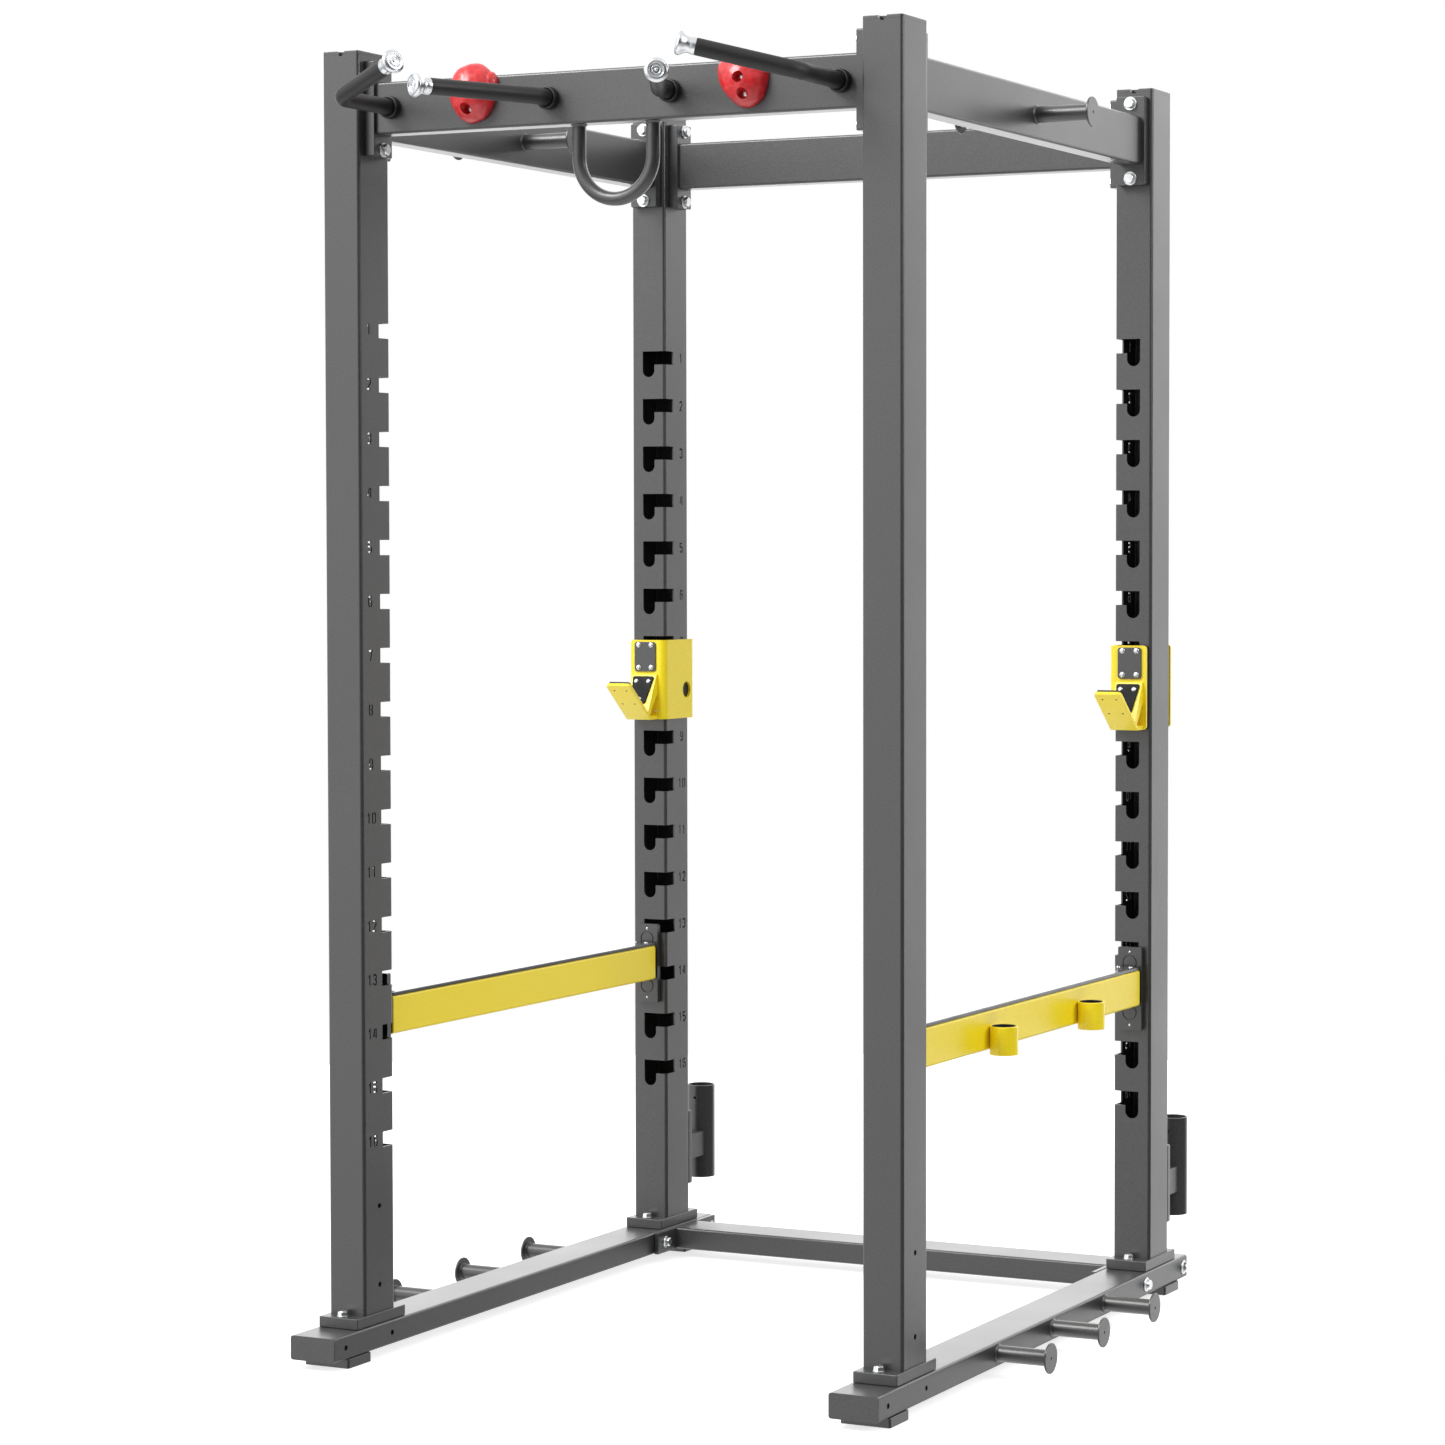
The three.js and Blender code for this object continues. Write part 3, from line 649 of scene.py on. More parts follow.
# %% [markdown]
# ## Uprights
# An upright is a 78 by 100 mm tube welded on a thick base plate. Its sixteen slots open at the inner
# corner, run across the face, then drop: a pin goes in sideways and falls into the leg, so it can't slide
# out by itself. The tube is a cube with four bevelled edges and no ends, solidified inwards. The slots
# are two rows of cutters, one for the way in and one for the round-ended leg.

# %% Upright values
WALL = 3.0
CORNER = 6.0
BASE_THICK = 20.0
SLOTS = range(1, 17)
SLOT_PITCH = 100.0
SLOT_TOP = 1918.0
SLOT_WIDE = 28.0
SLOT_TALL = 54.0
SLOT_REACH = 37.0
REAR_Y = 1150.0        # from the front uprights' front face to the rear uprights'
NUMERAL_IN = 30.0      # from the far edge of the side face to the numeral's middle
NUMERAL_DROP = 13.5    # from the top of the slot to the numeral's middle
CAP_NOTCH = 9.0
LEAST_LEFT = 0.9
HOLES_Z = (135.0, 282.0)
HOLE_RADIUS = 5.0


def slot_top(slot):
    return SLOT_TOP - (slot - 1) * SLOT_PITCH


def slot_ways_in(mid, inner_x, side, face_y, inward):
    """The sideways part of every slot."""
    leg_x = mid.x + side * SLOT_WIDE / 2
    return merge(*[block(
        (inner_x - side * 2, face_y + inward * 2, slot_top(slot) - SLOT_WIDE),
        (leg_x, face_y - inward * SLOT_REACH, slot_top(slot)), edge=0) for slot in SLOTS])


def slot_legs(mid, face_y, inward):
    """The drop of every slot, round at the bottom."""
    legs = []
    for slot in SLOTS:
        leg = block((mid.x - SLOT_WIDE / 2, face_y + inward * 2, slot_top(slot) - SLOT_TALL),
                    (mid.x + SLOT_WIDE / 2, face_y - inward * (WALL + 2), slot_top(slot) - 1), edge=0)
        bottom = [edge for edge in along(leg, Y) if edge.verts[0].co.z < slot_top(slot) - SLOT_TALL + 1]
        bevel(leg, bottom, SLOT_WIDE / 2 - 0.05, 10)
        legs.append(leg)
    return merge(*legs)


def cap_notch(mid, y, top):
    """A half-round notch at the top of a face, through wall and cap."""
    return cylinder((mid.x, y - 14, top), (mid.x, y + 14, top), CAP_NOTCH, 24)


def upright(end, side_name):
    side = SIDES[side_name]
    node = f"{end}_{side_name}_upright"
    low, high = box_mm(node)
    cap_low, cap_high = box_mm(f"{end}_{side_name}_cap")
    mid = (cap_low + cap_high) / 2
    inward = 1 if end == "front" else -1
    face_y = cap_high.y if inward > 0 else cap_low.y
    far_y = cap_low.y if inward > 0 else cap_high.y
    inner_x = cap_low.x if side > 0 else cap_high.x
    post = tube((cap_low.x, cap_low.y, low.z + BASE_THICK), (cap_high.x, cap_high.y, high.z), Z, CORNER, WALL)
    post = cut(post, slot_ways_in(mid, inner_x, side, face_y, inward))
    post = cut(post, slot_legs(mid, face_y, inward))
    reading = Matrix.Rotation(-side * math.pi / 2, 4, "Z") @ Matrix.Rotation(math.pi / 2, 4, "X")
    numerals = merge(*[numeral(slot, Matrix.Translation(
        (inner_x, far_y + inward * NUMERAL_IN, slot_top(slot) - NUMERAL_DROP)) @ reading) for slot in SLOTS])
    # A Boolean that fails eats the tube, so a cut that takes too much is left out.
    whole = post.calc_volume()
    numbered = cut(post.copy(), numerals)
    post = numbered if numbered.calc_volume() > whole * LEAST_LEFT else post
    holes = [cap_notch(mid, y, cap_high.z) for y in (cap_low.y, cap_high.y)]
    if end == "front":
        holes += [cylinder((cap_low.x - 5, mid.y, z), (cap_high.x + 5, mid.y, z), HOLE_RADIUS, 24)
                  for z in HOLES_Z]
    post = cut(post, *holes)
    base = block(low, (high.x, high.y, low.z + BASE_THICK), edge=1.5, segments=3)
    steel(node, merge(post, base))


for end in ("front", "rear"):
    for side_name in SIDES:
        upright(end, side_name)

# %% [markdown]
# ## Upright caps
# Each upright is closed by a flush cap with the same rounded corners and the same notch.

# %% Caps
def post_cap(end, side_name):
    node = f"{end}_{side_name}_cap"
    low, high = box_mm(node)
    mid = (low + high) / 2
    _, post_high = box_mm(f"{end}_{side_name}_upright")
    lid = block((low.x, low.y, post_high.z + 0.2), high, edge=0)
    bevel(lid, along(lid, Z), CORNER, 6)
    rim = [edge for edge in lid.edges if min(v.co.z for v in edge.verts) > high.z - 0.01]
    bevel(lid, rim, EDGE, 3)
    lid = cut(lid, *[cap_notch(mid, y, high.z) for y in (low.y, high.y)])
    place(node + "_lid", lid, FRAME_GREY, stands_for=[node])


for end in ("front", "rear"):
    for side_name in SIDES:
        post_cap(end, side_name)

# %% [markdown]
# ## Top beams
# A top beam is a 95 by 45 mm tube with a thick bolting plate welded on each end. The plate is taller than
# the tube, to leave room for a bolt above it and one below.

# %% Top beams
END_PLATE = 20.0
BEAM_HALF_HIGH, BEAM_HALF_THICK = 47.5, 22.5
TUBE_CORNER = 5.0


def top_beam(node, axis):
    low, high = box_mm(node)
    mid, half = (low + high) / 2, (high - low) / 2
    across = Y if axis is X else X
    reach = axis * (half.dot(axis) - END_PLATE)
    section = across * BEAM_HALF_THICK + Z * BEAM_HALF_HIGH
    parts = [tube(mid - reach - section, mid + reach + section, axis, TUBE_CORNER, WALL)]
    face = across * half.dot(across) + Z * half.z
    for sign in (-1, 1):
        near = mid + axis * sign * reach.dot(axis)
        far = mid + axis * sign * half.dot(axis)
        parts.append(slab(near - face, far + face, axis, 3.0))
    steel(node, merge(*parts))


top_beam("front_top_beam", X)
top_beam("rear_top_beam", X)
top_beam("left_top_beam", Y)
top_beam("right_top_beam", Y)

# %% [markdown]
# ## Base rails, feet and rear cross member
# The base rails are the same tube laid flat, closed at the ends by thin plates. The cross member ties
# them at the back, and moulded pads in the frame's grey keep the steel off the floor.

# %% Base
RAIL_HOLES_Y = (-76.0, 78.0)
CROSS_PLATE = 10.0
FOOT_GREY = FRAME_GREY[0], "moulded_plastic"


def base_rail(side_name):
    node = f"{side_name}_base_rail"
    low, high = box_mm(node)
    mid = (low + high) / 2
    rail = tube((low.x, low.y + WALL, low.z), (high.x, high.y - WALL, high.z), Y, TUBE_CORNER, WALL)
    rail = cut(rail, *[cylinder((low.x - 5, y, mid.z), (high.x + 5, y, mid.z), HOLE_RADIUS, 24)
                       for y in RAIL_HOLES_Y])
    lids = [slab((low.x, near, low.z), (high.x, near + WALL, high.z), Y, TUBE_CORNER, 0.6, corner_steps=6)
            for near in (low.y, high.y - WALL)]
    steel(node, merge(rail, *lids))


def foot(end, side_name):
    node = f"{end}_{side_name}_foot"
    low, high = box_mm(node)
    place(node + "_pad", slab(low, high, Z, 4.0, 1.2, edge_steps=3), FOOT_GREY, stands_for=[node])


def cross_member():
    node = "rear_cross_member"
    low, high = box_mm(node)
    mid = (low + high) / 2
    ends = [block((x0, low.y, low.z), (x1, high.y, high.z), edge=1.2)
            for x0, x1 in ((low.x, low.x + CROSS_PLATE), (high.x - CROSS_PLATE, high.x))]
    body = tube((low.x + CROSS_PLATE, mid.y - BEAM_HALF_HIGH, low.z),
                (high.x - CROSS_PLATE, mid.y + BEAM_HALF_HIGH, high.z), X, TUBE_CORNER, WALL)
    steel(node, merge(body, *ends))


for side_name in SIDES:
    base_rail(side_name)
    foot("front", side_name)
    foot("rear", side_name)
cross_member()

# %% [markdown]
# ## Storage pegs
# A peg is a round bar welded on at one end, with a thin disc at the other so that a plate or a band can't
# slide off. It is turned from one profile. The little rise at its root is the weld, and the dimple in the
# disc is the hole that the bar was centred by.

# %% Pegs
PEG_RADIUS = 15.0
DISC_THICK = 4.0
WELD = 3.0


def peg(node, out):
    """A peg lying along X. Out is +1 or -1: the way its disc faces."""
    low, high = box_mm(node)
    mid = (low + high) / 2
    long = high.x - low.x
    disc = (high.z - low.z) / 2
    profile = [(0, 0), (PEG_RADIUS + WELD, 0), (PEG_RADIUS + WELD * 0.35, WELD * 0.35), (PEG_RADIUS, WELD),
               (PEG_RADIUS, long - DISC_THICK - 1.5), (PEG_RADIUS + 1.5, long - DISC_THICK),
               (disc - 0.8, long - DISC_THICK), (disc, long - DISC_THICK + 0.8), (disc, long - 0.8),
               (disc - 0.8, long), (2.6, long), (2.2, long - 6), (0, long - 6)]
    root = Vector((low.x if out > 0 else high.x, mid.y, mid.z))
    shape = turned(profile, root, X * out, 48)
    steel(node, shape)


for side_name, side in SIDES.items():
    peg(f"{side_name}_outer_top_peg", side)
    peg(f"{side_name}_inner_top_peg", -side)
    for number in (1, 2, 3):
        peg(f"{side_name}_base_peg_{number}", side)

# %% [markdown]
# ## Pull-up handles
# Each handle is a steel bar in a rubber sleeve. It leaves the beam square to its face through a collar,
# bends, and ends in a flared chrome cap. A bent bar is a circle that is extruded, spun round the middle
# of the bend, and extruded again, so the bend is a true arc.

# %% Handles
GRIP_RADIUS = 15.0
HANDLE_BEND = 38.0
CAP_LONG = 34.0
HANDLES = {
    "outer": {"corner": (458.0, -140.0), "tip": (279.0, -236.0, 2352.0)},
    "inner": {"corner": (124.0, -14.0), "tip": (243.0, -239.0, 2307.5)},
}
BEAM_LOW, BEAM_HIGH = box_mm("front_top_beam")
BEAM_Z = (BEAM_LOW.z + BEAM_HIGH.z) / 2
BEAM_FACE = (BEAM_LOW.y + BEAM_HIGH.y) / 2 - BEAM_HALF_THICK - GAP

COLLAR = [(15.2, 0), (20.5, 0), (20.5, 11.6), (20.0, 13.2), (19.0, 14), (17.4, 14), (16.6, 13), (15.2, 12.6)]
END_CAP = [(0, 0), (15.0, 0), (15.0, 5.5), (14.3, 8), (13.8, 11), (14.6, 15), (17.0, 19.5), (19.6, 23),
           (21.0, 26), (21.2, 28.2), (20.4, 30.4), (18.6, 32.2), (16.0, 33.4), (13.4, 33.8), (12.4, 33.2),
           (11.8, 31.6), (11.0, 31.0), (9.0, 31.0), (8.4, 32.2), (7.6, 32.6), (6.6, 32.2), (6.0, 31.0),
           (3.0, 31.0), (2.4, 31.8), (0, 32.2)]


def handle(side_name, where):
    side = SIDES[side_name]
    corner_x, corner_y = HANDLES[where]["corner"]
    root = Vector((corner_x, BEAM_FACE, BEAM_Z))
    corner = Vector((corner_x, corner_y, BEAM_Z))
    tip = Vector(HANDLES[where]["tip"])
    out = (tip - corner).normalized()
    grip_end = tip - out * CAP_LONG
    grip = bent_bar([root, corner, grip_end], HANDLE_BEND, GRIP_RADIUS)
    rims = [edge for edge in grip.edges if len(edge.link_faces) == 2
            and max(len(face.verts) for face in edge.link_faces) > 8]
    bevel(grip, rims, 1.2, 3)
    node = f"{side_name}_{where}_handle"
    place(node + "_grip", for_side(side, grip), GRIP_RUBBER, stands_for=[node])
    collar = turned(COLLAR + COLLAR[:1], root, -Y, 64)
    place(node + "_collar", for_side(side, collar), GRIP_RUBBER)
    cap = turned(END_CAP, grip_end + out * GAP, out, 64)
    place(node + "_cap", for_side(side, cap), CHROME, stands_for=[node + "_end"], corner=55.0)


for side_name in SIDES:
    for where in HANDLES:
        handle(side_name, where)

# %% [markdown]
# ### The U handle
# The U handle is bare bar, powder coated with the frame and welded under the front beam.

# %% U handle
U_LOW, U_HIGH = box_mm("u_handle")
U_RADIUS = (U_HIGH.y - U_LOW.y) / 2
U_MID_Y = (U_HIGH.y + U_LOW.y) / 2
U_BEND = (U_HIGH.x - U_LOW.x) / 2 - U_RADIUS


def weld_ring(place_at, direction, radius, size=WELD):
    """The bead round the root of a bar."""
    return turned([(radius - 1, 0), (radius + size, 0), (radius + size * 0.6, size * 0.5),
                   (radius + size * 0.2, size), (radius - 1, size * 1.3), (radius - 1, 0)],
                  place_at, direction, 32)


def u_handle():
    bottom = U_LOW.z + U_RADIUS
    corners = [(-U_BEND, U_MID_Y, U_HIGH.z), (-U_BEND, U_MID_Y, bottom), (U_BEND, U_MID_Y, bottom),
               (U_BEND, U_MID_Y, U_HIGH.z)]
    bar = bent_bar(corners, U_BEND - 0.01, U_RADIUS, bend_steps=20)
    welds = [weld_ring((x, U_MID_Y, U_HIGH.z), -Z, U_RADIUS) for x in (-U_BEND, U_BEND)]
    place("u_handle_bar", merge(bar, *welds), FRAME_GREY, stands_for=["u_handle"])


u_handle()

# %% [markdown]
# ## Climbing holds
# A climbing hold is a lump of resin shaped to be awkward to grip. It starts as an icosphere. Its width
# follows its height by a simple rule, soft noise dents it like the carving of its mould, and a plane cuts
# its back flat. Deep round recesses take the screws that fix it to the beam.

# %% Holds
def lump(centre, half, taper, lean, shoulder, seed):
    """A dented ball: taper narrows its foot, lean moves the foot sideways, shoulder widens its top."""
    shape = bmesh.new()
    bmesh.ops.create_icosphere(shape, subdivisions=5, radius=1.0)
    for vert in shape.verts:
        x, y, z = vert.co
        narrow = 1.0 - taper * (1.0 - z) / 2 + shoulder * max(0.0, z) ** 2
        dent = 1.0 + 0.05 * noise.noise(vert.co * 1.5 + Vector((seed, 0, 0)))
        dent += 0.018 * noise.noise(vert.co * 4.0 + Vector((0, seed, 0)))
        vert.co = Vector((x * narrow + lean * (1.0 - z) / 2, y, z)) * dent
    bmesh.ops.scale(shape, vec=half, verts=shape.verts)
    bmesh.ops.translate(shape, vec=centre, verts=shape.verts)
    return shape


def flat_back(shape, y):
    """Cuts everything behind a plane away, and closes the cut."""
    cut_by = bmesh.ops.bisect_plane(shape, geom=shape.verts[:] + shape.edges[:] + shape.faces[:],
                                    plane_co=(0, y, 0), plane_no=(0, 1, 0), clear_outer=True)
    bmesh.ops.edgenet_fill(shape, edges=edges_of(cut_by["geom_cut"]))
    bmesh.ops.recalc_face_normals(shape, faces=shape.faces)
    return shape


RECESS = [(0, 0), (8.5, 0), (9.0, 2), (10.5, 24), (14.0, 60), (0, 60)]


def hold(side_name, body, screws):
    node = f"{side_name}_climbing_hold"
    body = flat_back(body, BEAM_FACE)
    for x, z, floor in screws:
        body = cut(body, turned(RECESS, (x, floor, z), -Y, 32))
    place(node + "_resin", body, RED_RESIN, stands_for=[node])


LEFT_LOW, LEFT_HIGH = box_mm("left_climbing_hold")
RIGHT_LOW, RIGHT_HIGH = box_mm("right_climbing_hold")


def fitted(low, high, grow=1.0):
    """Centre and half sizes of a hold's box, its depth measured from the beam."""
    half = (high - low) / 2 * grow
    centre = Vector(((low.x + high.x) / 2, BEAM_FACE, (low.z + high.z) / 2))
    return centre, Vector((half.x, high.y - low.y, half.z))


left_centre, left_half = fitted(LEFT_LOW, LEFT_HIGH)
left_body = lump(left_centre, left_half * 0.98, 0.16, 0.0, 0.0, 3.0)
side_lobe = lump(left_centre + Vector((35, 0, 17)), Vector((15, 20, 20)), 0.0, 0.0, 0.0, 7.0)
left_body = cut(left_body, side_lobe, operation="UNION")
LEFT_SCREWS = [(left_centre.x + 3, left_centre.z - 31, BEAM_FACE - 17)]
hold("left", left_body, LEFT_SCREWS)

right_centre, right_half = fitted(RIGHT_LOW, RIGHT_HIGH)
right_body = lump(right_centre - X * 5, right_half * 0.96, 0.32, 0.22, 0.40, 11.0)
RIGHT_SCREWS = [(right_centre.x + 5, right_centre.z + 5, BEAM_FACE - 20),
                (right_centre.x + 11, right_centre.z - 24, BEAM_FACE - 18)]
hold("right", right_body, RIGHT_SCREWS)

# %% [markdown]
# ## Barbell sleeves
# A barbell stands on end in each sleeve: an open tube on a bracket behind the rear upright. Tube and bore
# are one profile that closes on itself, so a single full spin makes both walls and both rims.

# %% Sleeves
SLEEVE_WALL = 3.0
SLEEVE_Y = 1376.0
BACK_Z = (141.0, 299.0)
BACK_THICK = 14.0
TAB_Z = (187.0, 240.0)
TAB_HALF = 20.0
GRUB_DROP = 27.0


def sleeve(side_name):
    side = SIDES[side_name]
    node = f"{side_name}_barbell_sleeve"
    low, high = box_mm("right_barbell_sleeve")
    outer = high.y - SLEEVE_Y
    bore = outer - SLEEVE_WALL
    tall = high.z - low.z
    ring = [(bore, 0.8), (bore + 0.8, 0), (outer - 0.8, 0), (outer, 0.8), (outer, tall - 0.8),
            (outer - 0.8, tall), (bore + 0.8, tall), (bore, tall - 0.8), (bore, 0.8)]
    wall = turned(ring, (POST_X, SLEEVE_Y, low.z), Z, 72)
    grub_z = high.z - GRUB_DROP
    grub_hole = cylinder((POST_X, SLEEVE_Y, grub_z), (POST_X, SLEEVE_Y - 60, grub_z), 3.5, 20)
    wall = cut(wall, grub_hole)
    back_face = low.y + BACK_THICK
    back = slab((low.x, low.y, BACK_Z[0]), (high.x, back_face, BACK_Z[1]), Y, 4.0)
    meets_tube = SLEEVE_Y - math.sqrt(outer ** 2 - TAB_HALF ** 2) + 0.5
    tab = block((POST_X - TAB_HALF, back_face, TAB_Z[0]), (POST_X + TAB_HALF, meets_tube, TAB_Z[1]))
    steel(node, for_side(side, merge(wall, back, tab)))


for side_name in SIDES:
    sleeve(side_name)

# %% [markdown]
# ## Bar hooks
# A hook is bent from 5 mm plate. In a workshop the plate goes through a press brake twice; here a single
# upright edge is extruded for each flat and spun for each bend, then the sheet gets its thickness. It
# wraps the front, the inner side and the back of the upright, so it can't twist off.

# %% Hook plate
HOOK_LOW, HOOK_HIGH = box_mm("right_hook")
HOOK_FRONT = 1134.0
HOOK_PLATE = 5.0
HOOK_BEND = 14.0
CRADLE_HALF = 28.5
PIN_RADIUS = 13.5
PIN_DROP = 40.0        # from the top of a slot to the middle of a pin resting in it
PIN_TIP_Y = 1186.0
HOOK_SLOTS = (7, 8)
SIGHT_HOLE = {"y": 1232.0, "z": 1203.0, "radius": 17.0}


def hook_pins(y0, y1, slots):
    """Round pins with chamfered tips, from a plate to the inside of the upright."""
    way = 1 if y1 > y0 else -1
    long = abs(y1 - y0)
    profile = [(0, 0), (PIN_RADIUS, 0), (PIN_RADIUS, long - 2), (PIN_RADIUS - 2, long), (0, long)]
    return [turned(profile, (POST_X, y0, slot_top(slot) - PIN_DROP), Y * way, 40) for slot in slots]


def hook_sheet():
    shape = bmesh.new()
    start = [shape.verts.new((HOOK_HIGH.x, HOOK_FRONT, z)) for z in (HOOK_LOW.z, HOOK_HIGH.z)]
    ring = [shape.edges.new(start)]
    bend_x = HOOK_LOW.x + HOOK_BEND
    ring = pull(shape, ring, (bend_x - HOOK_HIGH.x, 0, 0))
    for centre_y, step in ((HOOK_FRONT + HOOK_BEND, (0, HOOK_HIGH.y - HOOK_FRONT - 2 * HOOK_BEND, 0)),
                           (HOOK_HIGH.y - HOOK_BEND, (HOOK_HIGH.x - bend_x, 0, 0))):
        spun = bmesh.ops.spin(shape, geom=ring, cent=(bend_x, centre_y, 0), axis=-Z,
                              angle=math.pi / 2, steps=8)
        ring = edges_of(spun["geom_last"])
        ring = pull(shape, ring, step)
    bmesh.ops.recalc_face_normals(shape, faces=shape.faces)
    front = max(shape.faces, key=lambda face: abs(face.normal.y) * face.calc_area())
    outward = front.normal.y * (front.calc_center_median().y - (HOOK_FRONT + HOOK_HIGH.y) / 2)
    if outward < 0:
        bmesh.ops.reverse_faces(shape, faces=shape.faces)
    bmesh.ops.solidify(shape, geom=shape.faces[:], thickness=HOOK_PLATE)
    corners = [edge for edge in along(shape, Y) if min(v.co.x for v in edge.verts) > HOOK_HIGH.x - 1
               and edge.calc_length() < HOOK_PLATE + 1]
    bevel(shape, corners, 7.0, 5)
    return cut(shape, cylinder((HOOK_LOW.x - 5, SIGHT_HOLE["y"], SIGHT_HOLE["z"]),
                               (HOOK_LOW.x + 15, SIGHT_HOLE["y"], SIGHT_HOLE["z"]), SIGHT_HOLE["radius"], 48))


# %% [markdown]
# The cradle is a V of plate that the bar drops into. Drawn from the side it is one outline with a
# three-cornered window, so it is cut from a thick slab. The two free corners of its lip are rounded.

# %% Cradle
LIP_TOP = (1014.0, 1217.0)
CRADLE = [(1135, 1143), (1103, 1143), LIP_TOP, (1018.4, 1222.2), (1094, 1159.4), (1129, 1236), (1135, 1240)]
WINDOW = [(1099.5, 1151.5), (1138.0, 1151.5), (1138.0, 1202.0)]
WINDOW_CORNER = 6.0


def side_outline(points, x0, x1):
    """A side-view outline given width across the hook."""
    return plate([(x0, y, z) for y, z in points], (x1 - x0, 0, 0))


def cradle():
    shape = side_outline(CRADLE, POST_X - CRADLE_HALF, POST_X + CRADLE_HALF)
    lip_corners = [edge for edge in shape.edges if max(v.co.y for v in edge.verts) < LIP_TOP[0] + 8
                   and abs(direction_of(edge).x) < 0.1]
    bevel(shape, lip_corners, 7.0, 5)
    opening = side_outline(WINDOW, POST_X - 60, POST_X + 60)
    inner = [edge for edge in along(opening, X) if edge.verts[0].co.y < 1110]
    bevel(opening, inner, WINDOW_CORNER, 6)
    shape = cut(shape, opening)
    bevel(shape, sharp_edges(shape), 0.7, 2)
    return shape


# %% [markdown]
# Where steel would touch steel there is nylon: a sheet behind the plate, and pads in the cradle. They are
# fixed by button-head screws, which are turned from a domed profile and have a socket for the key.

# %% Screws and bolts
def button_screw(at, direction, radius=5.5, high=3.2):
    """A domed head with a dark hexagon socket."""
    dome = [(radius, 0)] + [(radius * math.cos(a), high * 0.25 + high * 0.75 * math.sin(a))
                            for a in (0.0, 0.35, 0.7, 1.05, 1.3)] + [(0, high)]
    head = turned([(0, 0)] + dome, at, direction, 32)
    socket = bmesh.new()
    floor_at = Matrix.Translation(Vector(at) + Vector(direction) * high * 0.6)
    bmesh.ops.create_circle(socket, cap_ends=True, segments=6, radius=radius * 0.34,
                            matrix=floor_at @ aim(direction))
    return cut(head, thicken(socket, Vector(direction) * high))


def hex_bolt(at, direction, across=19.0, head=9.0, washer=13.5, washer_thick=2.2, turn=0.3):
    """A washer with a chamfered hexagon head on it."""
    at, direction = Vector(at), Vector(direction).normalized()
    on_washer = at + direction * washer_thick
    ring = turned([(4, 0), (washer - 0.5, 0), (washer, 0.5), (washer, washer_thick - 0.5),
                   (washer - 0.5, washer_thick), (4, washer_thick), (4, 0)], at, direction, 36)
    hexagon = bmesh.new()
    seat = Matrix.Translation(on_washer) @ aim(direction) @ Matrix.Rotation(turn, 4, "Z")
    bmesh.ops.create_cone(hexagon, cap_ends=True, segments=6, radius1=across / math.sqrt(3),
                          radius2=across / math.sqrt(3), depth=head,
                          matrix=seat @ Matrix.Translation((0, 0, head / 2)))
    half = across / 2
    dome = turned([(0, 0), (half + 3, 0), (half + 1.2, head - 2.2), (half - 0.8, head), (0, head)],
                  on_washer, direction, 36)
    return merge(ring, cut(hexagon, dome, operation="INTERSECT"))


# %% [markdown]
# Now the hook is put together: bent plate, cradle and pins in yellow steel, then the nylon that the bar
# touches, the screws that hold it, and four rivets in the lip.

# %% Hooks
WEAR_SCREWS = [(x, z) for x in (-15.0, 15.0) for z in (1252.0, 1299.5)]
WEAR_THICK = 3.0
PAD_THICK = 4.0
RAMP_LOW, RAMP_HIGH = (1102.5, 1176.5), (1128.2, 1232.3)
LIP_LOW, LIP_HIGH = (1080.0, 1171.2), (1019.0, 1221.8)
RAMP_SCREWS = [(-14.5, 50.0), (14.5, 50.0), (-2.0, 9.0)]
SIDE_LINER = ((1153.0, 1148.0), (1260.0, 1305.0))
LIP_RIVETS = [(x, down) for x in (-14.5, 14.5) for down in (17.0, 62.0)]


def sloping_pad(low, high, foot_half, head_half, way):
    """A nylon pad on a sloping face: its shape, the way up the slope, and the way off it."""
    slope = Vector((0, high[0] - low[0], high[1] - low[1])).normalized()
    off = Vector((0, -slope.z, slope.y)) * way
    base = [(POST_X - foot_half, *low), (POST_X + foot_half, *low),
            (POST_X + head_half, *high), (POST_X - head_half, *high)]
    pad = plate([Vector(point) + off * GAP for point in base], off * PAD_THICK)
    bevel(pad, along(pad, off), 4.5, 4)
    bevel(pad, [edge for edge in sharp_edges(pad) if abs(direction_of(edge).dot(off)) < 0.5], 0.5, 2)
    return pad, slope, off


def ramp_pad():
    pad, slope, off = sloping_pad(RAMP_LOW, RAMP_HIGH, 16.0, 25.0, 1)
    foot = Vector((POST_X, *RAMP_LOW)) + off * (PAD_THICK + GAP)
    screws = [button_screw(foot + X * x + slope * up, off, 4.8, 2.6) for x, up in RAMP_SCREWS]
    return pad, merge(*screws)


def lip_rivets():
    """Four small rivets that hold the lip's pad, seen as dots on its outer face."""
    slope = Vector((0, LIP_TOP[0] - 1103, LIP_TOP[1] - 1143)).normalized()
    off = Vector((0, -slope.z, slope.y))
    return merge(*[turned([(0, 0), (1.9, 0), (1.6, 0.4), (0, 0.5)],
                          Vector((POST_X + x, *LIP_TOP)) - slope * down + off * 0.02, off, 20)
                   for x, down in LIP_RIVETS])


def soften(node, edge=0.6):
    """A plain solid of the frame copied, merged and given broken edges."""
    shape = bmesh.new()
    shape.from_mesh(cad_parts[node].data)
    bmesh.ops.transform(shape, matrix=FROM_FRAME, verts=shape.verts)
    bmesh.ops.remove_doubles(shape, verts=shape.verts, dist=0.01)
    bmesh.ops.dissolve_limit(shape, angle_limit=0.02, verts=shape.verts, edges=shape.edges)
    bevel(shape, sharp_edges(shape), edge, 2)
    return shape


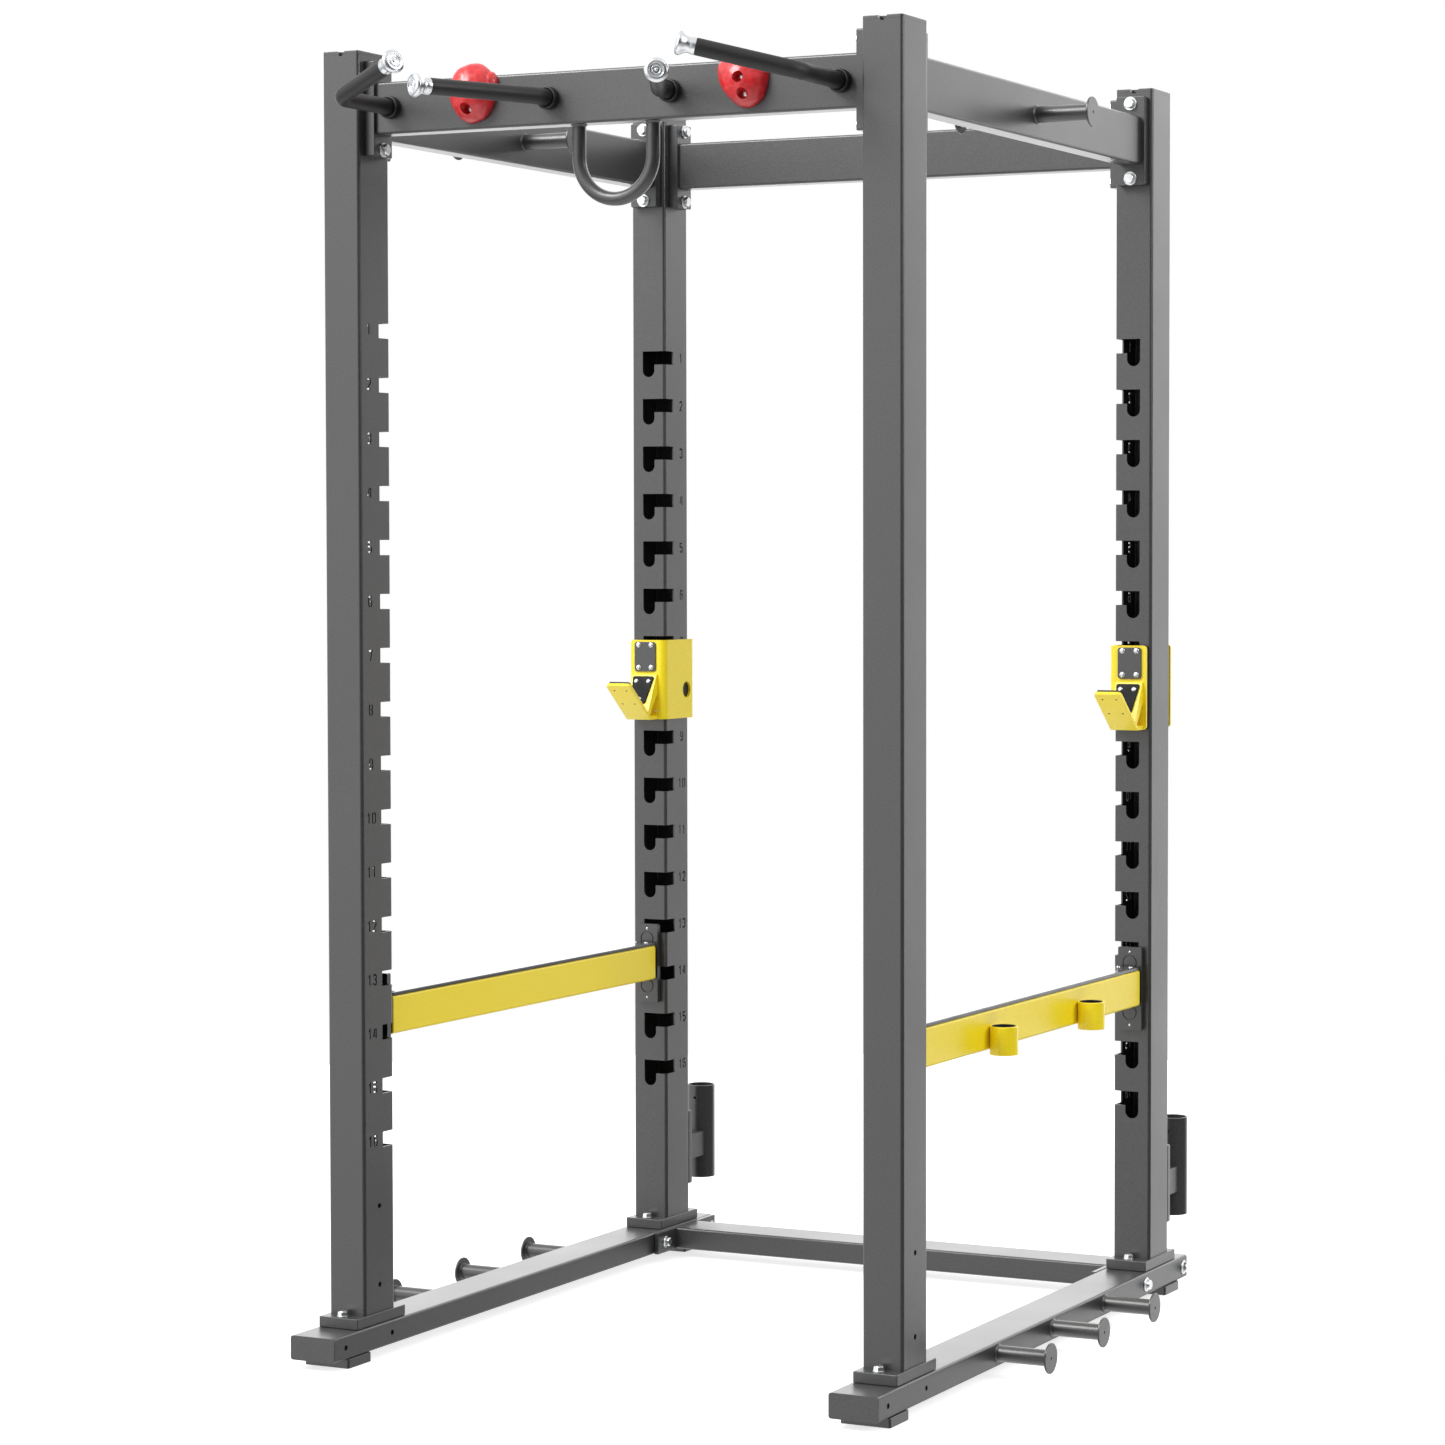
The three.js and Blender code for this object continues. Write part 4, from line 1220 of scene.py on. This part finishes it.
def bar_hook(side_name):
    side = SIDES[side_name]
    body = f"{side_name}_hook_body"
    name = f"{side_name}_hook"
    steel = merge(hook_sheet(), cradle(), *hook_pins(HOOK_FRONT + HOOK_PLATE - 1, PIN_TIP_Y, HOOK_SLOTS))
    place(name + "_steel", for_side(side, steel), YELLOW, body, [name])
    place(name + "_liner_nylon", soften(name + "_liner"), NYLON, body, [name + "_liner"])
    side_liner = block((HOOK_LOW.x + HOOK_PLATE + GAP / 2, *SIDE_LINER[0]),
                       (POST_LOW.x - GAP / 2, *SIDE_LINER[1]), edge=0)
    place(name + "_side_liner", for_side(side, side_liner), NYLON, body)
    lip_pad = sloping_pad(LIP_LOW, LIP_HIGH, 25.0, 25.0, -1)[0]
    place(name + "_lip_pad_nylon", for_side(side, lip_pad), NYLON, body, [name + "_lip_pad"])
    place(name + "_wear_plate_steel", soften(name + "_wear_plate"), FRAME_GREY, body,
          [name + "_wear_plate"])
    pad, pad_screws = ramp_pad()
    # The ramp pad wears the darker nylon: painted shade on its upturned face.
    place(name + "_ramp_pad_nylon", for_side(side, pad), SHADED_NYLON, body, [name + "_ramp_pad"])
    screws = [button_screw((POST_X + x, HOOK_FRONT - WEAR_THICK - GAP, z), -Y, 5.7) for x, z in WEAR_SCREWS]
    screws.append(button_screw((POST_X - 24, HOOK_FRONT, 1160.0), -Y, 3.0, 1.6))
    place(name + "_screws", for_side(side, merge(pad_screws, *screws)), ZINC, body)
    place(name + "_rivets", for_side(side, lip_rivets()), NYLON, body)


for side_name in SIDES:
    bar_hook(side_name)

# %% [markdown]
# ## Safety bars
# A safety bar catches a dropped barbell. It is a yellow tube between two brackets whose pins hang in the
# slots, with a tough strip along the top and two cups on its outer face for accessories.

# %% Safety bars
BAR_LOW, BAR_HIGH = box_mm("right_safety_strip")
TUBE_TOP = BAR_LOW.z - GAP
TUBE_HIGH = 72.0
TUBE_HALF = 25.0
TUBE_ENDS = (122.0, 1128.0)
CUP = {"radius": 26.0, "bore": 22.0, "low": 585.0, "high": 637.0, "liner": 2.2}
CUP_X = POST_X + TUBE_HALF + CUP["radius"] - 1
CUP_Y = (405.0, 817.0)
CUP_TALL = CUP["high"] - CUP["low"]


def safety_tube():
    bar = tube((POST_X - TUBE_HALF, TUBE_ENDS[0], TUBE_TOP - TUBE_HIGH),
               (POST_X + TUBE_HALF, TUBE_ENDS[1], TUBE_TOP), Y, 6.0, WALL)
    outer, bore = CUP["radius"], CUP["bore"]
    profile = [(0, 0), (outer - 1.2, 0), (outer, 1.2), (outer, CUP_TALL - 1.0), (outer - 1.0, CUP_TALL),
               (bore + 0.6, CUP_TALL), (bore, CUP_TALL - 0.6), (bore, 4), (0, 4)]
    return merge(bar, *[turned(profile, (CUP_X, y, CUP["low"]), Z, 56) for y in CUP_Y])


def cup_liners():
    """A nylon ring in the mouth of each cup."""
    bore, inner = CUP["bore"] - 0.1, CUP["bore"] - CUP["liner"]
    lip = CUP_TALL + 0.8
    profile = [(inner, 5), (bore, 5), (bore, lip), (inner + 0.6, lip), (inner, CUP_TALL), (inner, 5)]
    return merge(*[turned(profile, (CUP_X, y, CUP["low"]), Z, 56) for y in CUP_Y])


BOSS_HALF = 20.0
BOSS_Z = (66.0, 6.0)       # from the top of the tube down to the boss's foot and head
RING_Z = (678.0, 578.0)
RING = (13.2, 15.2)
RING_DEEP = 2.5
PIN_REACH = 33.0
SAFETY_SLOTS = (13, 14)
BRACKET_RIVETS = (699.0, 553.0)
BRACKET_THICK = 12.0
BRACKET_FACE = BRACKET_THICK + 1    # from the upright, as the bracket stands 1 mm off it


def safety_bracket(node, inward, face_y):
    low, high = box_mm(node)
    near = face_y + inward
    far = near + inward * BRACKET_THICK
    slab = block((low.x, min(near, far), low.z), (high.x, max(near, far), high.z), edge=0)
    bevel(slab, along(slab, Y), 3.0, 4)
    inner, outer = RING
    groove = [(inner, -RING_DEEP), (outer, -RING_DEEP), (outer, 4), (inner, 4), (inner, -RING_DEEP)]
    slab = cut(slab, merge(*[turned(groove, (POST_X, far, z), Y * inward, 40) for z in RING_Z]))
    boss_end = TUBE_ENDS[0] - GAP if inward > 0 else TUBE_ENDS[1] + GAP
    boss = block((POST_X - BOSS_HALF, min(far, boss_end), TUBE_TOP - BOSS_Z[0]),
                 (POST_X + BOSS_HALF, max(far, boss_end), TUBE_TOP - BOSS_Z[1]))
    return merge(slab, boss, *hook_pins(near, face_y - inward * PIN_REACH, SAFETY_SLOTS))


def safety_fixings():
    """Rivets on the brackets and screws at the ends of the strip."""
    parts = []
    for inward, plate_y in ((1, POST_HIGH.y + BRACKET_FACE), (-1, POST_LOW.y + REAR_Y - BRACKET_FACE)):
        parts += [turned([(0, 0), (2.4, 0), (2.2, 0.6), (1.2, 1.1), (0, 1.2)], (POST_X, plate_y, z),
                         Y * inward, 20) for z in BRACKET_RIVETS]
    for y in (BAR_LOW.y + 16, BAR_HIGH.y - 16):
        parts += [button_screw((POST_X + x, y, BAR_HIGH.z), Z, 4.5, 2.4) for x in (-13, 13)]
    return merge(*parts)


def safety(side_name):
    side = SIDES[side_name]
    body = f"{side_name}_safety_body"
    name = f"{side_name}_safety"
    place(name + "_bar_steel", for_side(side, safety_tube()), YELLOW, body, [name + "_bar"])
    place(name + "_cup_liners", for_side(side, cup_liners()), NYLON, body)
    for end, inward, face_y in (("front", 1, POST_HIGH.y), ("rear", -1, POST_LOW.y + REAR_Y)):
        bracket = safety_bracket(f"right_safety_{end}_bracket", inward, face_y)
        place(f"{name}_{end}_bracket_steel", for_side(side, bracket), FRAME_GREY, body,
              [f"{name}_{end}_bracket"])
    wear = block(BAR_LOW, BAR_HIGH, edge=0)
    bevel(wear, [edge for edge in along(wear, Y) if edge.verts[0].co.z > BAR_LOW.z + 1], 2.0, 4)
    bevel(wear, [edge for edge in wear.edges if abs(direction_of(edge).y) < 0.1
                  and abs(direction_of(edge).x) > 0.9], 0.8, 2)
    place(name + "_fixings", for_side(side, safety_fixings()), ZINC, body)
    place(name + "_strip_nylon", for_side(side, wear), WEAR_STRIP, body, [name + "_strip"])


for side_name in SIDES:
    safety(side_name)

# %% [markdown]
# ## Bolts
# The frame comes apart: the beams, the uprights and the cross member are held by plated hexagon bolts.
# Every bolt is the same washer and chamfered head, set where its plate has room for it.

# %% Beam bolts
BOLT_RISE = 73.5


def beam_bolts():
    bolts = []
    x_face, y_face = BEAM_HIGH.x - END_PLATE, POST_HIGH.y + END_PLATE + GAP
    rear_mid = POST_LOW.y + REAR_Y + (POST_HIGH.y - POST_LOW.y) / 2
    for rise in (-BOLT_RISE, BOLT_RISE):
        z = BEAM_Z + rise
        for side in SIDES.values():
            for y in ((POST_HIGH.y + POST_LOW.y) / 2, rear_mid):
                bolts.append(hex_bolt((side * x_face, y, z), (-side, 0, 0)))
            bolts.append(hex_bolt((side * POST_X, y_face, z), Y))
            bolts.append(hex_bolt((side * POST_X, REAR_Y - END_PLATE - GAP, z), -Y))
    return merge(*bolts)


place("top_beam_bolts", beam_bolts(), ZINC)

# %% [markdown]
# Shorter bolts hold the base plates down, one before and one behind each upright. Longer ones go through
# the rails into the cross member, with a nut on the inside.

# %% Base bolts
PLATE_LEDGE = 15.5


def base_bolts():
    bolts = []
    for side in SIDES.values():
        for end in ("front", "rear"):
            low, high = box_mm(f"{end}_right_upright")
            for y in (low.y + PLATE_LEDGE, high.y - PLATE_LEDGE):
                at = (side * POST_X, y, low.z + BASE_THICK)
                bolts.append(hex_bolt(at, Z, across=17.0, head=8.0, washer=11.0))
    return merge(*bolts)


def rail_bolts():
    bolts = []
    low, high = box_mm("right_base_rail")
    cross_low, cross_high = box_mm("rear_cross_member")
    mid_z = (low.z + high.z) / 2
    for side in SIDES.values():
        for y in (cross_low.y + 32, cross_high.y - 17):
            bolts.append(hex_bolt((side * high.x, y, mid_z), (side, 0, 0), washer=14.0, head=8.0))
            nut_x = side * (cross_high.x - CROSS_PLATE)
            bolts.append(hex_bolt((nut_x, y, mid_z), (-side, 0, 0), across=17.0, washer=12.0))
    return merge(*bolts)


place("base_plate_bolts", base_bolts(), ZINC)
place("rail_bolts", rail_bolts(), ZINC)


def hold_screws():
    """Countersunk screws at the bottom of the holds' recesses."""
    return merge(*[button_screw((x, y, z), -Y, 6.0, 5.0) for x, z, y in LEFT_SCREWS + RIGHT_SCREWS])


place("climbing_hold_screws", hold_screws(), ZINC)

# %% [markdown]
# ## Floor
# The floor is a round pale sheet, lit through from below as a photographer's light table is, so that its
# edge melts into the white backdrop. It is left out of reflections: the studio's own light comes from
# there instead.

# %% Floor
FLOOR_RADIUS = 4.0
FLOOR_GLOW = 0.72


def floor():
    material, tree, shader, coordinates = finish("white studio floor", 0.7)
    cloud = add(tree, "ShaderNodeTexNoise", {"Vector": coordinates, "Scale": 0.4, "Detail": 2.0})
    tree.links.new(shades(tree, cloud.outputs["Fac"], "#C6C6C6", "#CBCBCB"), shader.inputs["Base Color"])
    shader.inputs["Emission Color"].default_value = linear("#FFFFFF")
    shader.inputs["Emission Strength"].default_value = FLOOR_GLOW
    shape = bmesh.new()
    bmesh.ops.create_circle(shape, cap_ends=True, segments=96, radius=FLOOR_RADIUS)
    ground = as_object("studio_floor", shape)
    ground.data.materials.append(material)
    ground.visible_glossy = False
    ground.visible_diffuse = False


floor()
